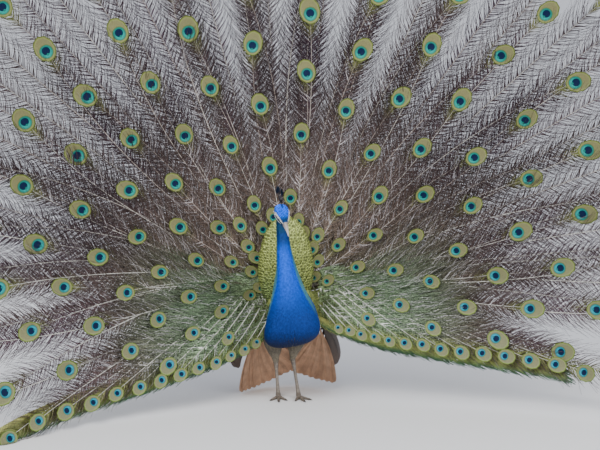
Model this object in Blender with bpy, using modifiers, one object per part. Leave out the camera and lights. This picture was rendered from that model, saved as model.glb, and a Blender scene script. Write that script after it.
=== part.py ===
"""Male Indian peafowl in full display, life size, as faceted solids in metres.

The bird faces -Y, +Z is up and the floor is z = 0.  The raised train is a shallow dish of
thin feather plates round a hub at the rump; each plate follows the same two fan coordinates,
r (distance from the hub) and t (-1 at the lower edge on the -X side, +1 at the one on the +X side).
"left" and "right" in the names are the bird's own: its left is +X.
"""
import math

import bmesh
import bpy
import numpy as np
from mathutils import Matrix, Vector

GAP = 0.0003                      # clearance between pieces that touch
ORIGIN = (0.021, -0.172, 0.0)     # middle of the whole display on the floor, in the bird's own frame

# --- train -------------------------------------------------------------------------------
HUB = (0.030, 0.150, 0.320)       # centre of the fan, inside the rump
FAN_AXIS = math.radians(-1.0)     # lean of the fan's centre line, + towards +X
EDGE_ROOT_L = math.radians(147.0) # half spread of the fan at its roots, -X side
EDGE_ROOT_R = math.radians(136.0) # and +X side
EDGE_TIP_L = math.radians(109.0)  # half spread at the rim, -X flank (rests on the floor)
EDGE_TIP_R = math.radians(105.0)  # the same, +X flank (held clear of the floor)
RIM = 1.50                        # length of the longest feathers from the hub
FLANK_RIM_L, FLANK_RIM_R = 1.05, 0.95
LEAN, SWEEP, LOW_SWEEP = 0.055, 0.46, 0.34   # forward sweep at the top, sides and lower flanks
ROOT_FORWARD = 0.125              # the lowest feathers pass in front of the wings
OUTER_PLATES, INNER_PLATES = 16, 7
FEATHERS_PER_PLATE = 3
PLEAT = 0.004                     # height of each shaft ridge over the valley beside it

# --- body --------------------------------------------------------------------------------
# stations from rump to throat: belly (y, z), back (y, z), half width, centre x
BODY = (
    ((0.236, 0.300), (0.236, 0.352), 0.026, 0.034),
    ((0.212, 0.255), (0.214, 0.388), 0.064, 0.033),
    ((0.160, 0.228), (0.165, 0.416), 0.069, 0.031),
    ((0.090, 0.2125), (0.095, 0.430), 0.0715, 0.022),
    ((0.005, 0.2055), (0.025, 0.436), 0.074, 0.013),
    ((-0.080, 0.2055), (-0.030, 0.436), 0.081, 0.008),
    ((-0.152, 0.223), (-0.066, 0.444), 0.079, 0.000),
    ((-0.196, 0.2695), (-0.092, 0.462), 0.0685, -0.008),
    ((-0.212, 0.338), (-0.110, 0.490), 0.052, -0.0155),
    ((-0.206, 0.410), (-0.126, 0.524), 0.036, -0.0216),
    ((-0.192, 0.482), (-0.130, 0.564), 0.027, -0.0285),
    ((-0.181, 0.548), (-0.132, 0.606), 0.0215, -0.033),
    ((-0.175, 0.606), (-0.132, 0.644), 0.0195, -0.036),
    ((-0.171, 0.640), (-0.137, 0.668), 0.018, -0.038),
)
BODY_ROLL = 0.145                 # the trunk hangs a little lower on the -X side
BODY_PEAR = 0.60                  # share by which it is narrower at the back and wider at the belly
RUMP_CUT, BREAST_CUT, NECK_CUT = 2.6, 5.0, 8.5   # thin cuts, in stations

HEAD = Vector((-0.038, -0.166, 0.662))
HEAD_PITCH, HEAD_YAW, HEAD_ROLL = math.radians(50.0), math.radians(9.0), math.radians(-8.0)
# stations from nape to bill base: distance forward, top, bottom, half width
SKULL = (
    (-0.0345, 0.008, -0.005, 0.0085), (-0.030, 0.0165, -0.0135, 0.0155),
    (-0.020, 0.0235, -0.0195, 0.0210), (-0.006, 0.0262, -0.0215, 0.0228),
    (0.008, 0.0240, -0.0195, 0.0212), (0.020, 0.0185, -0.0155, 0.0168),
    (0.030, 0.0130, -0.0115, 0.0118), (0.0375, 0.0092, -0.0088, 0.0082),
)
EYE_AT, EYE_R = (0.0105, 0.0205, 0.0040), 0.0062

SHIELD_AT, SHIELD_SIZE = (0.008, 0.092, 0.482), (0.102, 0.050, 0.180)

# --- legs: hip, ankle, sole centre, turn of the foot ----------------------------------------
LEGS = {
    "right": ((-0.046, 0.020, 0.215), (-0.031, 0.062, 0.126), (-0.026, 0.034), math.radians(-8)),
    "left": ((0.034, 0.012, 0.220), (0.027, 0.056, 0.136), (0.043, 0.022), math.radians(14)),
}
TOE_LENGTHS = {"inner": (0.050, -34), "middle": (0.064, -2), "outer": (0.052, 30), "hind": (0.022, 172)}

COLLECTION = bpy.data.collections.new("peafowl")
CUTTERS = bpy.data.collections.new("cutters")


def clear_scene():
    for ob in list(bpy.data.objects):
        bpy.data.objects.remove(ob, do_unlink=True)
    bpy.context.scene.collection.children.link(COLLECTION)
    bpy.context.scene.collection.children.link(CUTTERS)


def material(name, color, roughness=0.6, metallic=0.0):
    mat = bpy.data.materials.get(name)
    if mat is None:
        mat = bpy.data.materials.new(name)
        mat.use_nodes = True
        shader = mat.node_tree.nodes["Principled BSDF"]
        shader.inputs["Base Color"].default_value = (*color, 1.0)
        shader.inputs["Roughness"].default_value = roughness
        shader.inputs["Metallic"].default_value = metallic
    return mat


def add_object(name, verts, faces, mat, cutter=False, smooth=True):
    """One closed mesh object, its faces turned outwards."""
    bm = bmesh.new()
    points = [bm.verts.new(Vector(v) - Vector(ORIGIN)) for v in verts]
    for face in faces:
        bm.faces.new([points[i] for i in face])
    bmesh.ops.remove_doubles(bm, verts=bm.verts, dist=1e-6)
    bmesh.ops.recalc_face_normals(bm, faces=bm.faces)
    mesh = bpy.data.meshes.new(name)
    bm.to_mesh(mesh)
    bm.free()
    ob = bpy.data.objects.new(name, mesh)
    (CUTTERS if cutter else COLLECTION).objects.link(ob)
    if cutter:
        ob.hide_render = True
        ob.display_type = "WIRE"
    else:
        mesh.materials.append(mat)
        if smooth:
            mesh.shade_smooth()
    return ob


def loft(name, rings, mat, cutter=False):
    """A solid through a list of closed rings with equal counts, ends closed with fans."""
    count, verts, faces = len(rings[0]), [], []
    for ring in rings:
        verts.extend(ring)
    for i in range(len(rings) - 1):
        for j in range(count):
            k = (j + 1) % count
            a, b = i * count, (i + 1) * count
            faces.append((a + j, a + k, b + k, b + j))
    for ring, base in ((rings[0], 0), (rings[-1], (len(rings) - 1) * count)):
        centre = len(verts)
        verts.append(tuple(np.mean(np.array(ring), axis=0)))
        faces.extend((base + j, base + (j + 1) % count, centre) for j in range(count))
    return add_object(name, verts, faces, mat, cutter)


def plate(name, front, back, mat, cutter=False):
    """A thin solid between two grids of points [row][column]."""
    rows, cols = len(front), len(front[0])
    verts = [p for row in front for p in row] + [p for row in back for p in row]
    size, faces = rows * cols, []
    for i in range(rows - 1):
        for j in range(cols - 1):
            a, b = i * cols + j, (i + 1) * cols + j
            faces.append((a, a + 1, b + 1, b))
            faces.append((size + a, size + b, size + b + 1, size + a + 1))
    rim = [j for j in range(cols)] + [i * cols + cols - 1 for i in range(1, rows)]
    rim += [(rows - 1) * cols + j for j in range(cols - 2, -1, -1)]
    rim += [i * cols for i in range(rows - 2, 0, -1)]
    for a, b in zip(rim, rim[1:] + rim[:1]):
        faces.append((a, b, size + b, size + a))
    return add_object(name, verts, faces, mat, cutter)


def boolean(ob, cutter, operation="DIFFERENCE"):
    mod = ob.modifiers.new(operation.lower(), "BOOLEAN")
    mod.operation = operation
    mod.solver = "EXACT"
    mod.object = cutter
    return mod


def smoothstep(x):
    x = min(1.0, max(0.0, x))
    return x * x * (3.0 - 2.0 * x)


def smooth_row(table, s):
    """Catmull-Rom interpolation of a table of equal rows at station s."""
    data = np.array(table, dtype=float)
    last = len(data) - 1
    s = min(max(s, 0.0), last - 1e-9)
    i = int(s)
    u = s - i
    p0, p1, p2, p3 = (data[min(max(k, 0), last)] for k in (i - 1, i, i + 1, i + 2))
    return 0.5 * (2 * p1 + (p2 - p0) * u + (2 * p0 - 5 * p1 + 4 * p2 - p3) * u ** 2
                  + (3 * p1 - p0 - 3 * p2 + p3) * u ** 3)


def flat(row):
    return [value for item in row for value in (item if isinstance(item, tuple) else (item,))]


BODY_TABLE = [flat(row) for row in BODY]


def body_point(s, angle, off=0.0):
    """Point of the trunk and neck at station s; angle 0 is the back, +90 degrees the +X side."""
    by, bz, dy, dz, half, cx = smooth_row(BODY_TABLE, s)
    cy, cz = (by + dy) / 2, (bz + dz) / 2
    uy, uz = dy - cy, dz - cz
    length = math.hypot(uy, uz)
    full = smoothstep((8.0 - s) / 3.0) * smoothstep((s - 1.0) / 2.0) * (math.cos(angle) < 0)
    square = 1.0 - 0.22 * full            # the belly is a little flatter than an ellipse
    wide, tall = math.sin(angle), math.cos(angle)
    up = (length + off) / length * math.copysign(abs(tall) ** square, tall)
    pear = 1.0 - BODY_PEAR * smoothstep((9.5 - s) / 3.0) * smoothstep((s - 0.5) / 2.0) * tall
    side = (half * pear + off) * math.copysign(abs(wide) ** square, wide)
    roll = BODY_ROLL * smoothstep((9.0 - s) / 3.0) * side
    return (cx + side, cy + uy * up, cz + uz * up + roll)


def between(s0, s1, count):
    return [s0 + (s1 - s0) * i / (count - 1) for i in range(count)]


FINE = 0.0025                     # half the width of a thin cut, in stations
RUMP_AT = between(0.0, RUMP_CUT - FINE, 5)
BACK_AT = between(RUMP_CUT + FINE, BREAST_CUT - FINE, 4)
BREAST_AT = between(BREAST_CUT + FINE, NECK_CUT - FINE, 7)


def body_rings(stations, sides=18, off=0.0):
    turn = 2 * math.pi / sides
    return [[body_point(s, turn * j, off) for j in range(sides)] for s in stations]


def trunk_clearance(name):
    """Cutter just larger than rump, back and breast, facet for facet."""
    return loft(name, body_rings(RUMP_AT + BACK_AT + BREAST_AT, 18, GAP * 3.6), None, cutter=True)


def make_trunk():
    blue = material("breast_blue", (0.01, 0.07, 0.42), 0.45)
    brown = material("back_feathers", (0.20, 0.15, 0.09), 0.7)
    loft("rump", body_rings(RUMP_AT), brown)
    loft("back", body_rings(BACK_AT), brown)
    loft("breast", body_rings(BREAST_AT), blue)
    neck = loft("neck", body_rings(between(NECK_CUT + FINE, 13.0, 6)), blue)
    boolean(neck, head_solid("head_clearance", GAP, cutter=True))


def head_frame(forward, side, up):
    """Point in the frame of the tilted head: forward along the bill, side to +X, up to the crown."""
    turn = (Matrix.Rotation(HEAD_ROLL, 3, "Y") @ Matrix.Rotation(HEAD_YAW, 3, "Z")
            @ Matrix.Rotation(HEAD_PITCH, 3, "X"))
    return tuple(HEAD + turn @ Vector((side, -forward, up)))


def head_rings(table, sides, off=0.0, flat_top=None, flat_bottom=None):
    rings = []
    for forward, top, bottom, half in table:
        mid, tall = (top + bottom) / 2, (top - bottom) / 2
        ring = []
        for j in range(sides):
            a = 2 * math.pi * j / sides
            up = mid + (tall + off) * math.cos(a)
            if flat_top is not None:
                up = min(up, flat_top(forward))
            if flat_bottom is not None:
                up = max(up, flat_bottom(forward))
            ring.append(head_frame(forward, (half + off) * math.sin(a), up))
        rings.append(ring)
    return rings


def head_solid(name, off=0.0, cutter=False):
    table = list(SKULL)
    if off:
        first, last = table[0], table[-1]
        table = [(first[0] - off, *first[1:])] + table[1:-1] + [(last[0] + off, *last[1:])]
    return loft(name, head_rings(table, 14, off), material("head_blue", (0.02, 0.12, 0.55), 0.5), cutter)


def make_eye(side, name):
    """Eyeball set in a socket that clears it by the gap."""
    forward, across, up = EYE_AT
    for radius, label, cutter in ((EYE_R, "eye_" + name, False), (EYE_R + GAP, "socket_" + name, True)):
        mesh = bpy.data.meshes.new(label)
        bm = bmesh.new()
        bmesh.ops.create_uvsphere(bm, u_segments=10, v_segments=6, radius=radius)
        bm.to_mesh(mesh)
        bm.free()
        ob = bpy.data.objects.new(label, mesh)
        ob.location = Vector(head_frame(forward, side * (across - EYE_R * 0.62), up)) - Vector(ORIGIN)
        ob.rotation_euler = (HEAD_PITCH, 0.0, HEAD_YAW)
        if cutter:
            CUTTERS.objects.link(ob)
            ob.hide_render, ob.display_type = True, "WIRE"
        else:
            mesh.materials.append(material("eye", (0.03, 0.015, 0.01), 0.1))
            mesh.shade_smooth()
            COLLECTION.objects.link(ob)
    return ob


def make_head():
    head = head_solid("head")
    for side, name in ((-1, "right"), (1, "left")):
        boolean(head, make_eye(side, name))


def make_bill():
    """Upper bill hooked over a shorter lower bill, split along the gape."""
    horn = material("bill_horn", (0.45, 0.42, 0.38), 0.4)
    base, split = 0.0378, -0.0030

    def droop(x):
        return -0.0125 * ((x - base) / 0.044) ** 2

    upper, lower = [], []
    for k in range(6):
        u = k / 5
        x = base + 0.042 * u
        upper.append((x, droop(x) + 0.0088 * (1 - u) ** 0.7 + 0.0006, droop(x) + split * (1 - u) - 0.0010,
                      0.0074 * (1 - u) ** 0.8 + 0.0007))
    for k in range(5):
        u = k / 4
        x = base + 0.031 * u
        lower.append((x, droop(x) + split + 0.0030 * u - 0.0014, droop(x) - 0.0080 + 0.0042 * u - 0.0004,
                      0.0064 * (1 - u) ** 0.8 + 0.0009))

    def gape(x):
        return droop(x) + split * (1 - (x - base) / 0.042) - 0.0010

    loft("bill_upper", head_rings(upper, 10, flat_bottom=gape), horn)
    loft("bill_lower", head_rings(lower, 10, flat_top=lambda x: gape(x) - GAP), horn)


def make_crest():
    """Fan of bare shafts with webbed tips, in the head's middle plane."""
    shafts, rows, spread = 7, (0.0, 0.009, 0.026, 0.043, 0.053, 0.061), math.radians(27)
    cols = 2 * shafts - 1
    foot = Vector((-0.010, 0.0, 0.0262))
    grid = []
    for k, radius in enumerate(rows):
        line = []
        for j in range(cols + 1):
            edge = j / cols * 2 - 1
            lean = math.radians(-52) + spread * edge
            tip = 0.005 * (1 - edge * edge) + (0.0022 if (j // 2) % 2 else 0.0)
            length = 0.003 + radius + (tip if k == len(rows) - 1 else 0.0)
            wide = 0.0040 * edge
            line.append(head_frame(foot.x + wide + length * math.sin(lean) * 1.05, 0.0,
                                   foot.z + length * math.cos(lean)))
        grid.append(line)
    bm = bmesh.new()
    points = [[bm.verts.new(p) for p in line] for line in grid]
    for k in range(len(rows) - 1):
        for j in range(cols):
            window = k in (1, 2) and j % 2 == 1
            if not window:
                bm.faces.new((points[k][j], points[k][j + 1], points[k + 1][j + 1], points[k + 1][j]))
    loose = [v for v in bm.verts if not v.link_faces]
    bmesh.ops.delete(bm, geom=loose, context="VERTS")
    mesh = bpy.data.meshes.new("crest")
    bm.to_mesh(mesh)
    bm.free()
    mesh.materials.append(material("crest_blue", (0.02, 0.05, 0.12), 0.5))
    crest = bpy.data.objects.new("crest", mesh)
    crest.location = -Vector(ORIGIN)
    COLLECTION.objects.link(crest)
    mod = crest.modifiers.new("thickness", "SOLIDIFY")
    mod.thickness, mod.offset = 0.0016, 0.0


def fan_angle(r, t):
    """Angle from straight up, + to +X, of fan line t at distance r; the flanks droop to the rim."""
    tip, root = (EDGE_TIP_L, EDGE_ROOT_L) if t < 0 else (EDGE_TIP_R, EDGE_ROOT_R)
    droop = max(0.0, 1.0 - r) ** 2 * (root - tip)
    return FAN_AXIS + t * (tip + droop * abs(t))


def flank_share(t):
    """How far a fan line belongs to the lower flank, 0 to 1."""
    return smoothstep((abs(t) - 0.50) / 0.42)


def fan_rim(t):
    """Length of the train along fan line t."""
    a = abs(t)
    flank = FLANK_RIM_L if t < 0 else FLANK_RIM_R
    side = RIM - 0.09 * a * a
    return side + (flank - side) * max(0.0, (a - 0.80) / 0.20) ** 1.3


def fan_point(r, t, forward=0.0):
    a = fan_angle(r, t)
    b = abs(a - FAN_AXIS)
    low = smoothstep((b - math.radians(80)) / math.radians(45))
    bend = LEAN + SWEEP * math.sin(b) ** 2 + LOW_SWEEP * low
    y = HUB[1] - ROOT_FORWARD * flank_share(t) - bend * (r / 1.3) ** 2 - forward
    z = HUB[2] + r * math.cos(a)
    return (HUB[0] + r * math.sin(a), y, max(z, 0.0))


def train_plate(name, t0, t1, start, stop, rows, forward, thick, mat, notch):
    """One plate of three long feathers: ridged at each shaft, its end cut into rounded tips."""
    cols = 2 * FEATHERS_PER_PLATE
    front, back = [], []
    for i in range(rows):
        u = i / (rows - 1)
        line_f, line_b = [], []
        for j in range(cols + 1):
            shaft = j % 2
            v = j / cols
            t = t0 + (t1 - t0) * v
            end = stop(t) - (0.0 if shaft else notch)
            root = start + (0.044 if t < 0 else 0.014) * smoothstep((abs(t) - 0.26) / 0.14)
            root += (0.026 if t < 0 else 0.004) * smoothstep((abs(t) - 0.84) / 0.12)
            r = root + (end - root) * u ** 0.9
            inset = GAP * 1.2 / r / 1.9
            t += inset if j == 0 else (-inset if j == cols else 0.0)
            ridge = PLEAT * shaft * (1 - 0.4 * u)
            depth = thick * (1 - 0.55 * u)
            point = fan_point(r, t, forward * (1 + 0.9 * flank_share(t)) + ridge)
            line_f.append(point)
            line_b.append((point[0], point[1] + depth, point[2]))
        front.append(line_f)
        back.append(line_b)
    ob = plate(name, front, back, mat)
    if max(abs(t0), abs(t1)) > 0.6:
        boolean(ob, trunk_clearance(name + "_clearance"))
    return ob


def make_train():
    """Outer tier to the rim, and a shorter inner tier lying in front of it."""
    outer = material("train_bronze", (0.16, 0.13, 0.08), 0.55)
    inner = material("train_green", (0.10, 0.16, 0.05), 0.5)
    for i in range(OUTER_PLATES):
        t0, t1 = -1 + 2 * i / OUTER_PLATES, -1 + 2 * (i + 1) / OUTER_PLATES
        train_plate(f"train_outer_{i + 1:02d}", t0, t1, 0.104, fan_rim, 7, 0.0, 0.0028, outer, 0.045)
    for i in range(INNER_PLATES):
        t0, t1 = -1 + 2 * i / INNER_PLATES, -1 + 2 * (i + 1) / INNER_PLATES
        train_plate(f"train_inner_{i + 1:02d}", t0, t1, 0.118, lambda t: 0.50 * fan_rim(t) + 0.02, 5,
                    0.014, 0.0030, inner, 0.035)


WING_STATIONS, WING_ANGLES, WING_SWELL = (1.75, 3.6), (62, 120), 0.014


def wing_patch(name, side, mat, off=0.0, rows=7, cols=6):
    """A pad of feathers over the flank, between the trunk's surface and a swollen copy of it."""
    outside, inside = [], []
    for i in range(rows):
        u = i / (rows - 1)
        line_o, line_i = [], []
        for j in range(cols):
            v = j / (cols - 1)
            grow = 12.0 * off
            s = WING_STATIONS[0] - grow + (WING_STATIONS[1] - WING_STATIONS[0] + 2 * grow) * u
            a = WING_ANGLES[0] + (WING_ANGLES[1] - WING_ANGLES[0]) * v
            a = math.radians(a + 400.0 * off * (2 * v - 1))
            dome = (math.sin(math.pi * (0.08 + 0.84 * u)) * math.sin(math.pi * (0.08 + 0.84 * v))) ** 0.6
            line_o.append(body_point(s, side * a, 0.0016 + WING_SWELL * dome + off))
            line_i.append(body_point(s, side * a, -0.006))
        outside.append(line_o)
        inside.append(line_i)
    pad = plate(name, outside, inside, mat, cutter=mat is None)
    if mat is not None:
        boolean(pad, trunk_clearance(name + "_clearance"))
    return pad


def make_shield():
    """Cushion of golden scale feathers raised on the back, in front of the train."""
    rings, sides = [], 16
    cx, cy, cz = SHIELD_AT
    sx, sy, sz = SHIELD_SIZE
    for k in range(1, 9):
        p = math.pi * k / 9
        ring = []
        for j in range(sides):
            q = 2 * math.pi * j / sides
            x = math.sin(p) * math.cos(q)
            y = math.sin(p) * math.sin(q)
            depth = sy * (1.0 if y < 0 else 0.34)
            waist = 1.0 - 0.16 * math.cos(p)
            ring.append((cx + sx * x * waist, cy + depth * y, cz + sz * math.cos(p)))
        rings.append(ring)
    shield = loft("back_shield", rings, material("shield_gold", (0.35, 0.38, 0.08), 0.4, 0.3))
    boolean(shield, trunk_clearance("shield_clearance"))
    for side, name in ((-1, "right"), (1, "left")):
        boolean(shield, wing_patch("shield_wing_clearance_" + name, side, None, off=GAP * 2))


def make_tail():
    """Stiff brown tail feathers fanned behind the train to prop it up."""
    feathers, rows = 16, 3
    spread, start, stop = math.radians(84), 0.066, 0.430
    front, back = [], []
    for i in range(rows):
        u = i / (rows - 1)
        line_f, line_b = [], []
        for j in range(2 * feathers + 1):
            shaft = j % 2
            a = FAN_AXIS + spread * (j / feathers - 1)
            end = stop * (1 - 0.12 * (j / feathers - 1) ** 2) - (0.0 if shaft else 0.022)
            r = start + (end - start) * u
            y = HUB[1] + 0.052 - 0.030 * u * (1 + 0.5 * math.sin(a) ** 2) - 0.0025 * shaft
            point = (HUB[0] + r * math.sin(a), y, HUB[2] + 0.008 + r * math.cos(a))
            line_f.append(point)
            line_b.append((point[0], y + 0.0022, point[2]))
        front.append(line_f)
        back.append(line_b)
    tail = plate("tail", front, back, material("tail_brown", (0.17, 0.12, 0.08), 0.7))
    clearance = trunk_clearance("tail_clearance")
    boolean(tail, clearance)
    fluff = []
    for k in range(6):
        u = k / 5
        mid = Vector((0.032, 0.205 + 0.045 * u, 0.262 - 0.085 * u))
        wide = 0.085 * math.sin(math.pi * (0.10 + 0.86 * u)) ** 0.6
        fluff.append([(mid.x + wide * math.sin(a), mid.y + 0.034 * math.cos(a) * wide / 0.085,
                       mid.z + 0.016 * math.cos(a)) for a in (2 * math.pi * j / 10 for j in range(10))])
    boolean(loft("undertail", fluff, material("undertail_down", (0.42, 0.38, 0.33), 0.9)), clearance)


def blade(name, roots, tips, feathers, mat, bow, rows=4, thick=0.0020, notch=0.03):
    """A fan of flight feathers between a line of roots and a line of tips, bowed along bow."""
    cols = 2 * feathers
    root_a, root_b = (Vector(p) for p in roots)
    tip_a, tip_m, tip_b = (Vector(p) for p in tips)
    bow = Vector(bow)
    out = bow.normalized()
    front, back = [], []
    for i in range(rows):
        u = i / (rows - 1)
        line_f, line_b = [], []
        for j in range(cols + 1):
            v = j / cols
            root = root_a.lerp(root_b, v)
            tip = tip_a * (1 - v) ** 2 + tip_m * 2 * v * (1 - v) + tip_b * v * v
            axis = tip - root
            reach = 1.0 - (0.0 if j % 2 else notch / axis.length)
            p = root + axis * (u * reach) + bow * math.sin(math.pi * u * 0.85) + out * 0.0016 * (j % 2)
            p.z = max(p.z, 0.0)
            q = p - out * thick
            q.z = max(q.z, 0.0)
            line_f.append(tuple(p))
            line_b.append(tuple(q))
        front.append(line_f)
        back.append(line_b)
    return plate(name, front, back, mat)


def make_wings():
    barred = material("wing_barred", (0.30, 0.26, 0.20), 0.7)
    dark = material("wing_secondary", (0.06, 0.05, 0.05), 0.6)
    chestnut = material("wing_primary", (0.42, 0.17, 0.06), 0.6)
    for side, name in ((-1, "right"), (1, "left")):
        wing_patch("wing_" + name, side, barred)
        drop = -0.006 if side < 0 else 0.022
        cx = 0.016
        blade("primaries_" + name,
              ((cx + side * 0.108, 0.055, 0.240), (cx + side * 0.100, 0.130, 0.205)),
              ((cx + side * 0.160, 0.110, drop), (cx + side * 0.135, 0.215, drop + 0.010),
               (cx + side * 0.026, 0.235, drop + 0.085)),
              7, chestnut, (side * 0.016, 0.004, 0.004))
        blade("secondaries_" + name,
              ((cx + side * 0.116, 0.066, 0.255), (cx + side * 0.108, 0.172, 0.340)),
              ((cx + side * 0.168, 0.150, 0.062), (cx + side * 0.172, 0.265, 0.130),
               (cx + side * 0.130, 0.275, 0.285)),
              6, dark, (side * 0.018, 0.006, 0.004))


def tube_rings(path, radii, sides, floor=None, first=None, last=None):
    """Rings square to a path (or to first and last at its ends), flattened on the floor."""
    rings = []
    for i, point in enumerate(path):
        p = Vector(point)
        a = Vector(path[max(i - 1, 0)])
        b = Vector(path[min(i + 1, len(path) - 1)])
        along = (b - a).normalized()
        if (i == 0 and first) or (i == len(path) - 1 and last):
            along = first if i == 0 else last
        across = along.cross(Vector((0, 0, 1)) if abs(along.z) < 0.9 else Vector((0, -1, 0))).normalized()
        over = across.cross(along)
        ring = []
        for j in range(sides):
            q = 2 * math.pi * (j + 0.5) / sides
            v = p + (across * math.cos(q) + over * math.sin(q)) * radii[i]
            if floor is not None:
                v.z = max(v.z, floor)
            ring.append(tuple(v))
        rings.append(ring)
    return rings


def make_leg(name):
    hip, ankle, sole, turn = LEGS[name]
    hip, ankle = Vector(hip), Vector(ankle)
    heel = Vector((sole[0], sole[1] + 0.006, 0.018))
    shin = material("shin_feathers", (0.22, 0.20, 0.15), 0.8)
    scale = material("leg_scales", (0.24, 0.20, 0.16), 0.6)

    joint = ((ankle - hip).normalized() + (heel - ankle).normalized()).normalized()
    steps = [hip.lerp(ankle, u) for u in (0.0, 0.3, 0.55, 0.78, 1.0)]
    thigh = loft("thigh_" + name, tube_rings(steps, (0.034, 0.030, 0.022, 0.0135, 0.0090), 12, last=joint), shin)
    boolean(thigh, trunk_clearance("thigh_clearance_" + name))

    start = ankle + joint * GAP * 2
    shank = [start.lerp(heel, u) for u in (0.0, 0.10, 0.35, 0.7, 1.0)]
    radii = (0.0078, 0.0088, 0.0058, 0.0056, 0.0072)
    foot = loft("foot_" + name, tube_rings(shank, radii, 8, first=joint), scale)
    ball = Vector((sole[0], sole[1], 0.0062))
    pieces = [("pad", [heel + Vector((0, 0.002, 0.004)), heel.lerp(ball, 0.6), ball + Vector((0, -0.008, 0))],
               (0.0070, 0.0095, 0.0075))]
    for toe, (length, degrees) in TOE_LENGTHS.items():
        aim = turn + math.copysign(1.0, sole[0]) * math.radians(degrees)   # inner toes point to the midline
        way = Vector((math.sin(aim), -math.cos(aim), 0.0))
        r0 = 0.0062 if toe != "hind" else 0.0048
        begin = ball - way * 0.0035
        line = [begin + way * length * u + Vector((0, 0, z)) for u, z in
                ((0.0, 0.0), (0.35, -0.0016), (0.7, -0.0028), (0.97, -0.0036))]
        pieces.append((toe, line, (r0, r0 * 0.92, r0 * 0.85, r0 * 0.62)))
        claw_start = begin + way * (length * 0.97 + 0.0012) + Vector((0, 0, -0.0036))
        claw = [claw_start, claw_start + way * 0.005 + Vector((0, 0, 0.0006)),
                claw_start + way * 0.011 + Vector((0, 0, -0.0022))]
        loft(f"claw_{name}_{toe}", tube_rings(claw, (0.0030, 0.0023, 0.0006), 5, 0.0),
             material("claw_horn", (0.12, 0.10, 0.09), 0.4))
    for label, line, widths in pieces:
        solid = loft(f"{name}_{label}", tube_rings(line, widths, 7, 0.0), None, cutter=True)
        boolean(foot, solid, "UNION")
    spur = start.lerp(heel, 0.62) + Vector((0, 0.0078, 0))
    loft("spur_" + name, tube_rings([spur, spur + Vector((0, 0.010, 0.003)), spur + Vector((0, 0.019, 0.009))],
                                    (0.0042, 0.0030, 0.0007), 6), material("claw_horn", (0.12, 0.10, 0.09), 0.4))


clear_scene()
make_trunk()
make_head()
make_bill()
make_crest()
make_train()
make_shield()
make_tail()
make_wings()
make_leg("right")
make_leg("left")
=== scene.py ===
"""Looks of a life-size male Indian peafowl in full display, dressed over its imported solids.

Shapes are worked out in the bird's own frame, in metres: it faces -Y, +Z is up, the floor is
z = 0 and the origin is on the floor under the breast.  MOVE carries that frame into the frame
of the solids.  Each section makes one group of pieces, in the order a taxidermist would:
raised train first, then tail, skin, body feathers, wings, head, legs, and last the studio.
"""
import math

import bpy
import numpy as np
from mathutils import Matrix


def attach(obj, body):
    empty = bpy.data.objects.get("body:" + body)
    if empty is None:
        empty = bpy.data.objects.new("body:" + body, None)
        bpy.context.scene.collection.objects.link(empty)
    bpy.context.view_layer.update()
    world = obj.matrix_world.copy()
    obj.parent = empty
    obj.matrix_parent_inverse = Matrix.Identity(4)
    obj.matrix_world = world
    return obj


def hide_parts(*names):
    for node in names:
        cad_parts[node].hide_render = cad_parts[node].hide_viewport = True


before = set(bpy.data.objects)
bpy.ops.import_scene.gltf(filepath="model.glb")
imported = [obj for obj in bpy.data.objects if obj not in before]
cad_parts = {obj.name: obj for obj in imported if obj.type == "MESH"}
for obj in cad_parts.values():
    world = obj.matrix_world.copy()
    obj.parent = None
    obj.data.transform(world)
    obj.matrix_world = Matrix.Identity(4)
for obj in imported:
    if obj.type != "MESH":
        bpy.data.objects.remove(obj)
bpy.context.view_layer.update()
MOVE = np.array((-0.021, 0.172, 0.0))
rng = np.random.default_rng(7)

# ------------------------------------------------------------------ the dish of the raised train
# The train is 194 long tail coverts held up as one shallow dish round the rump. Every feather
# follows the same two fan coordinates: r, the distance from the hub, and t, which runs from -1
# at the lower edge on the -X side, the bird's right, to +1 at the lower edge on its left.
HUB = np.array((0.030, 0.150, 0.320))
FAN_AXIS = math.radians(-1.0)
SPREAD_ROOT = (math.radians(147.0), math.radians(136.0))   # half spread at the roots, to -X and to +X
SPREAD_TIP = (math.radians(109.0), math.radians(105.0))    # and at the rim
RIM, FLANK_RIM = 1.47, (1.03, 0.95)
LEAN, SWEEP, LOW_SWEEP, ROOT_FORWARD = 0.055, 0.46, 0.34, 0.125


def ease(x):
    """Smooth step from 0 to 1: 3x^2 - 2x^3, held at its ends."""
    x = np.clip(x, 0.0, 1.0)
    return x * x * (3.0 - 2.0 * x)


def by_side(t, pair):
    return np.where(np.asarray(t) < 0, pair[0], pair[1])


def fan_angle(r, t):
    """Angle from straight up of fan line t at distance r: t times the spread, which narrows outwards."""
    tip = by_side(t, SPREAD_TIP)
    droop = np.maximum(0.0, 1.0 - r) ** 2 * (by_side(t, SPREAD_ROOT) - tip)
    return FAN_AXIS + t * (tip + droop * np.abs(t))


def fan_line(r, angle):
    """The fan line t that passes through that angle at distance r: fan_angle solved for t."""
    b = angle - FAN_AXIS
    tip = by_side(b, SPREAD_TIP)
    droop = np.maximum(0.0, 1.0 - r) ** 2 * (by_side(b, SPREAD_ROOT) - tip) + 1e-9
    return np.sign(b) * (-tip + np.sqrt(tip * tip + 4.0 * droop * np.abs(b))) / (2.0 * droop)


def flank(t):
    """How far a fan line belongs to the lower flank, 0 to 1."""
    return ease((np.abs(t) - 0.50) / 0.42)


def fan_rim(t):
    """Length of the train along line t: long over the top, shorter in the last fifth of each flank."""
    a = np.abs(t)
    side = RIM - 0.09 * a * a
    return side + (by_side(t, FLANK_RIM) - side) * np.maximum(0.0, (a - 0.80) / 0.20) ** 1.3


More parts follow.
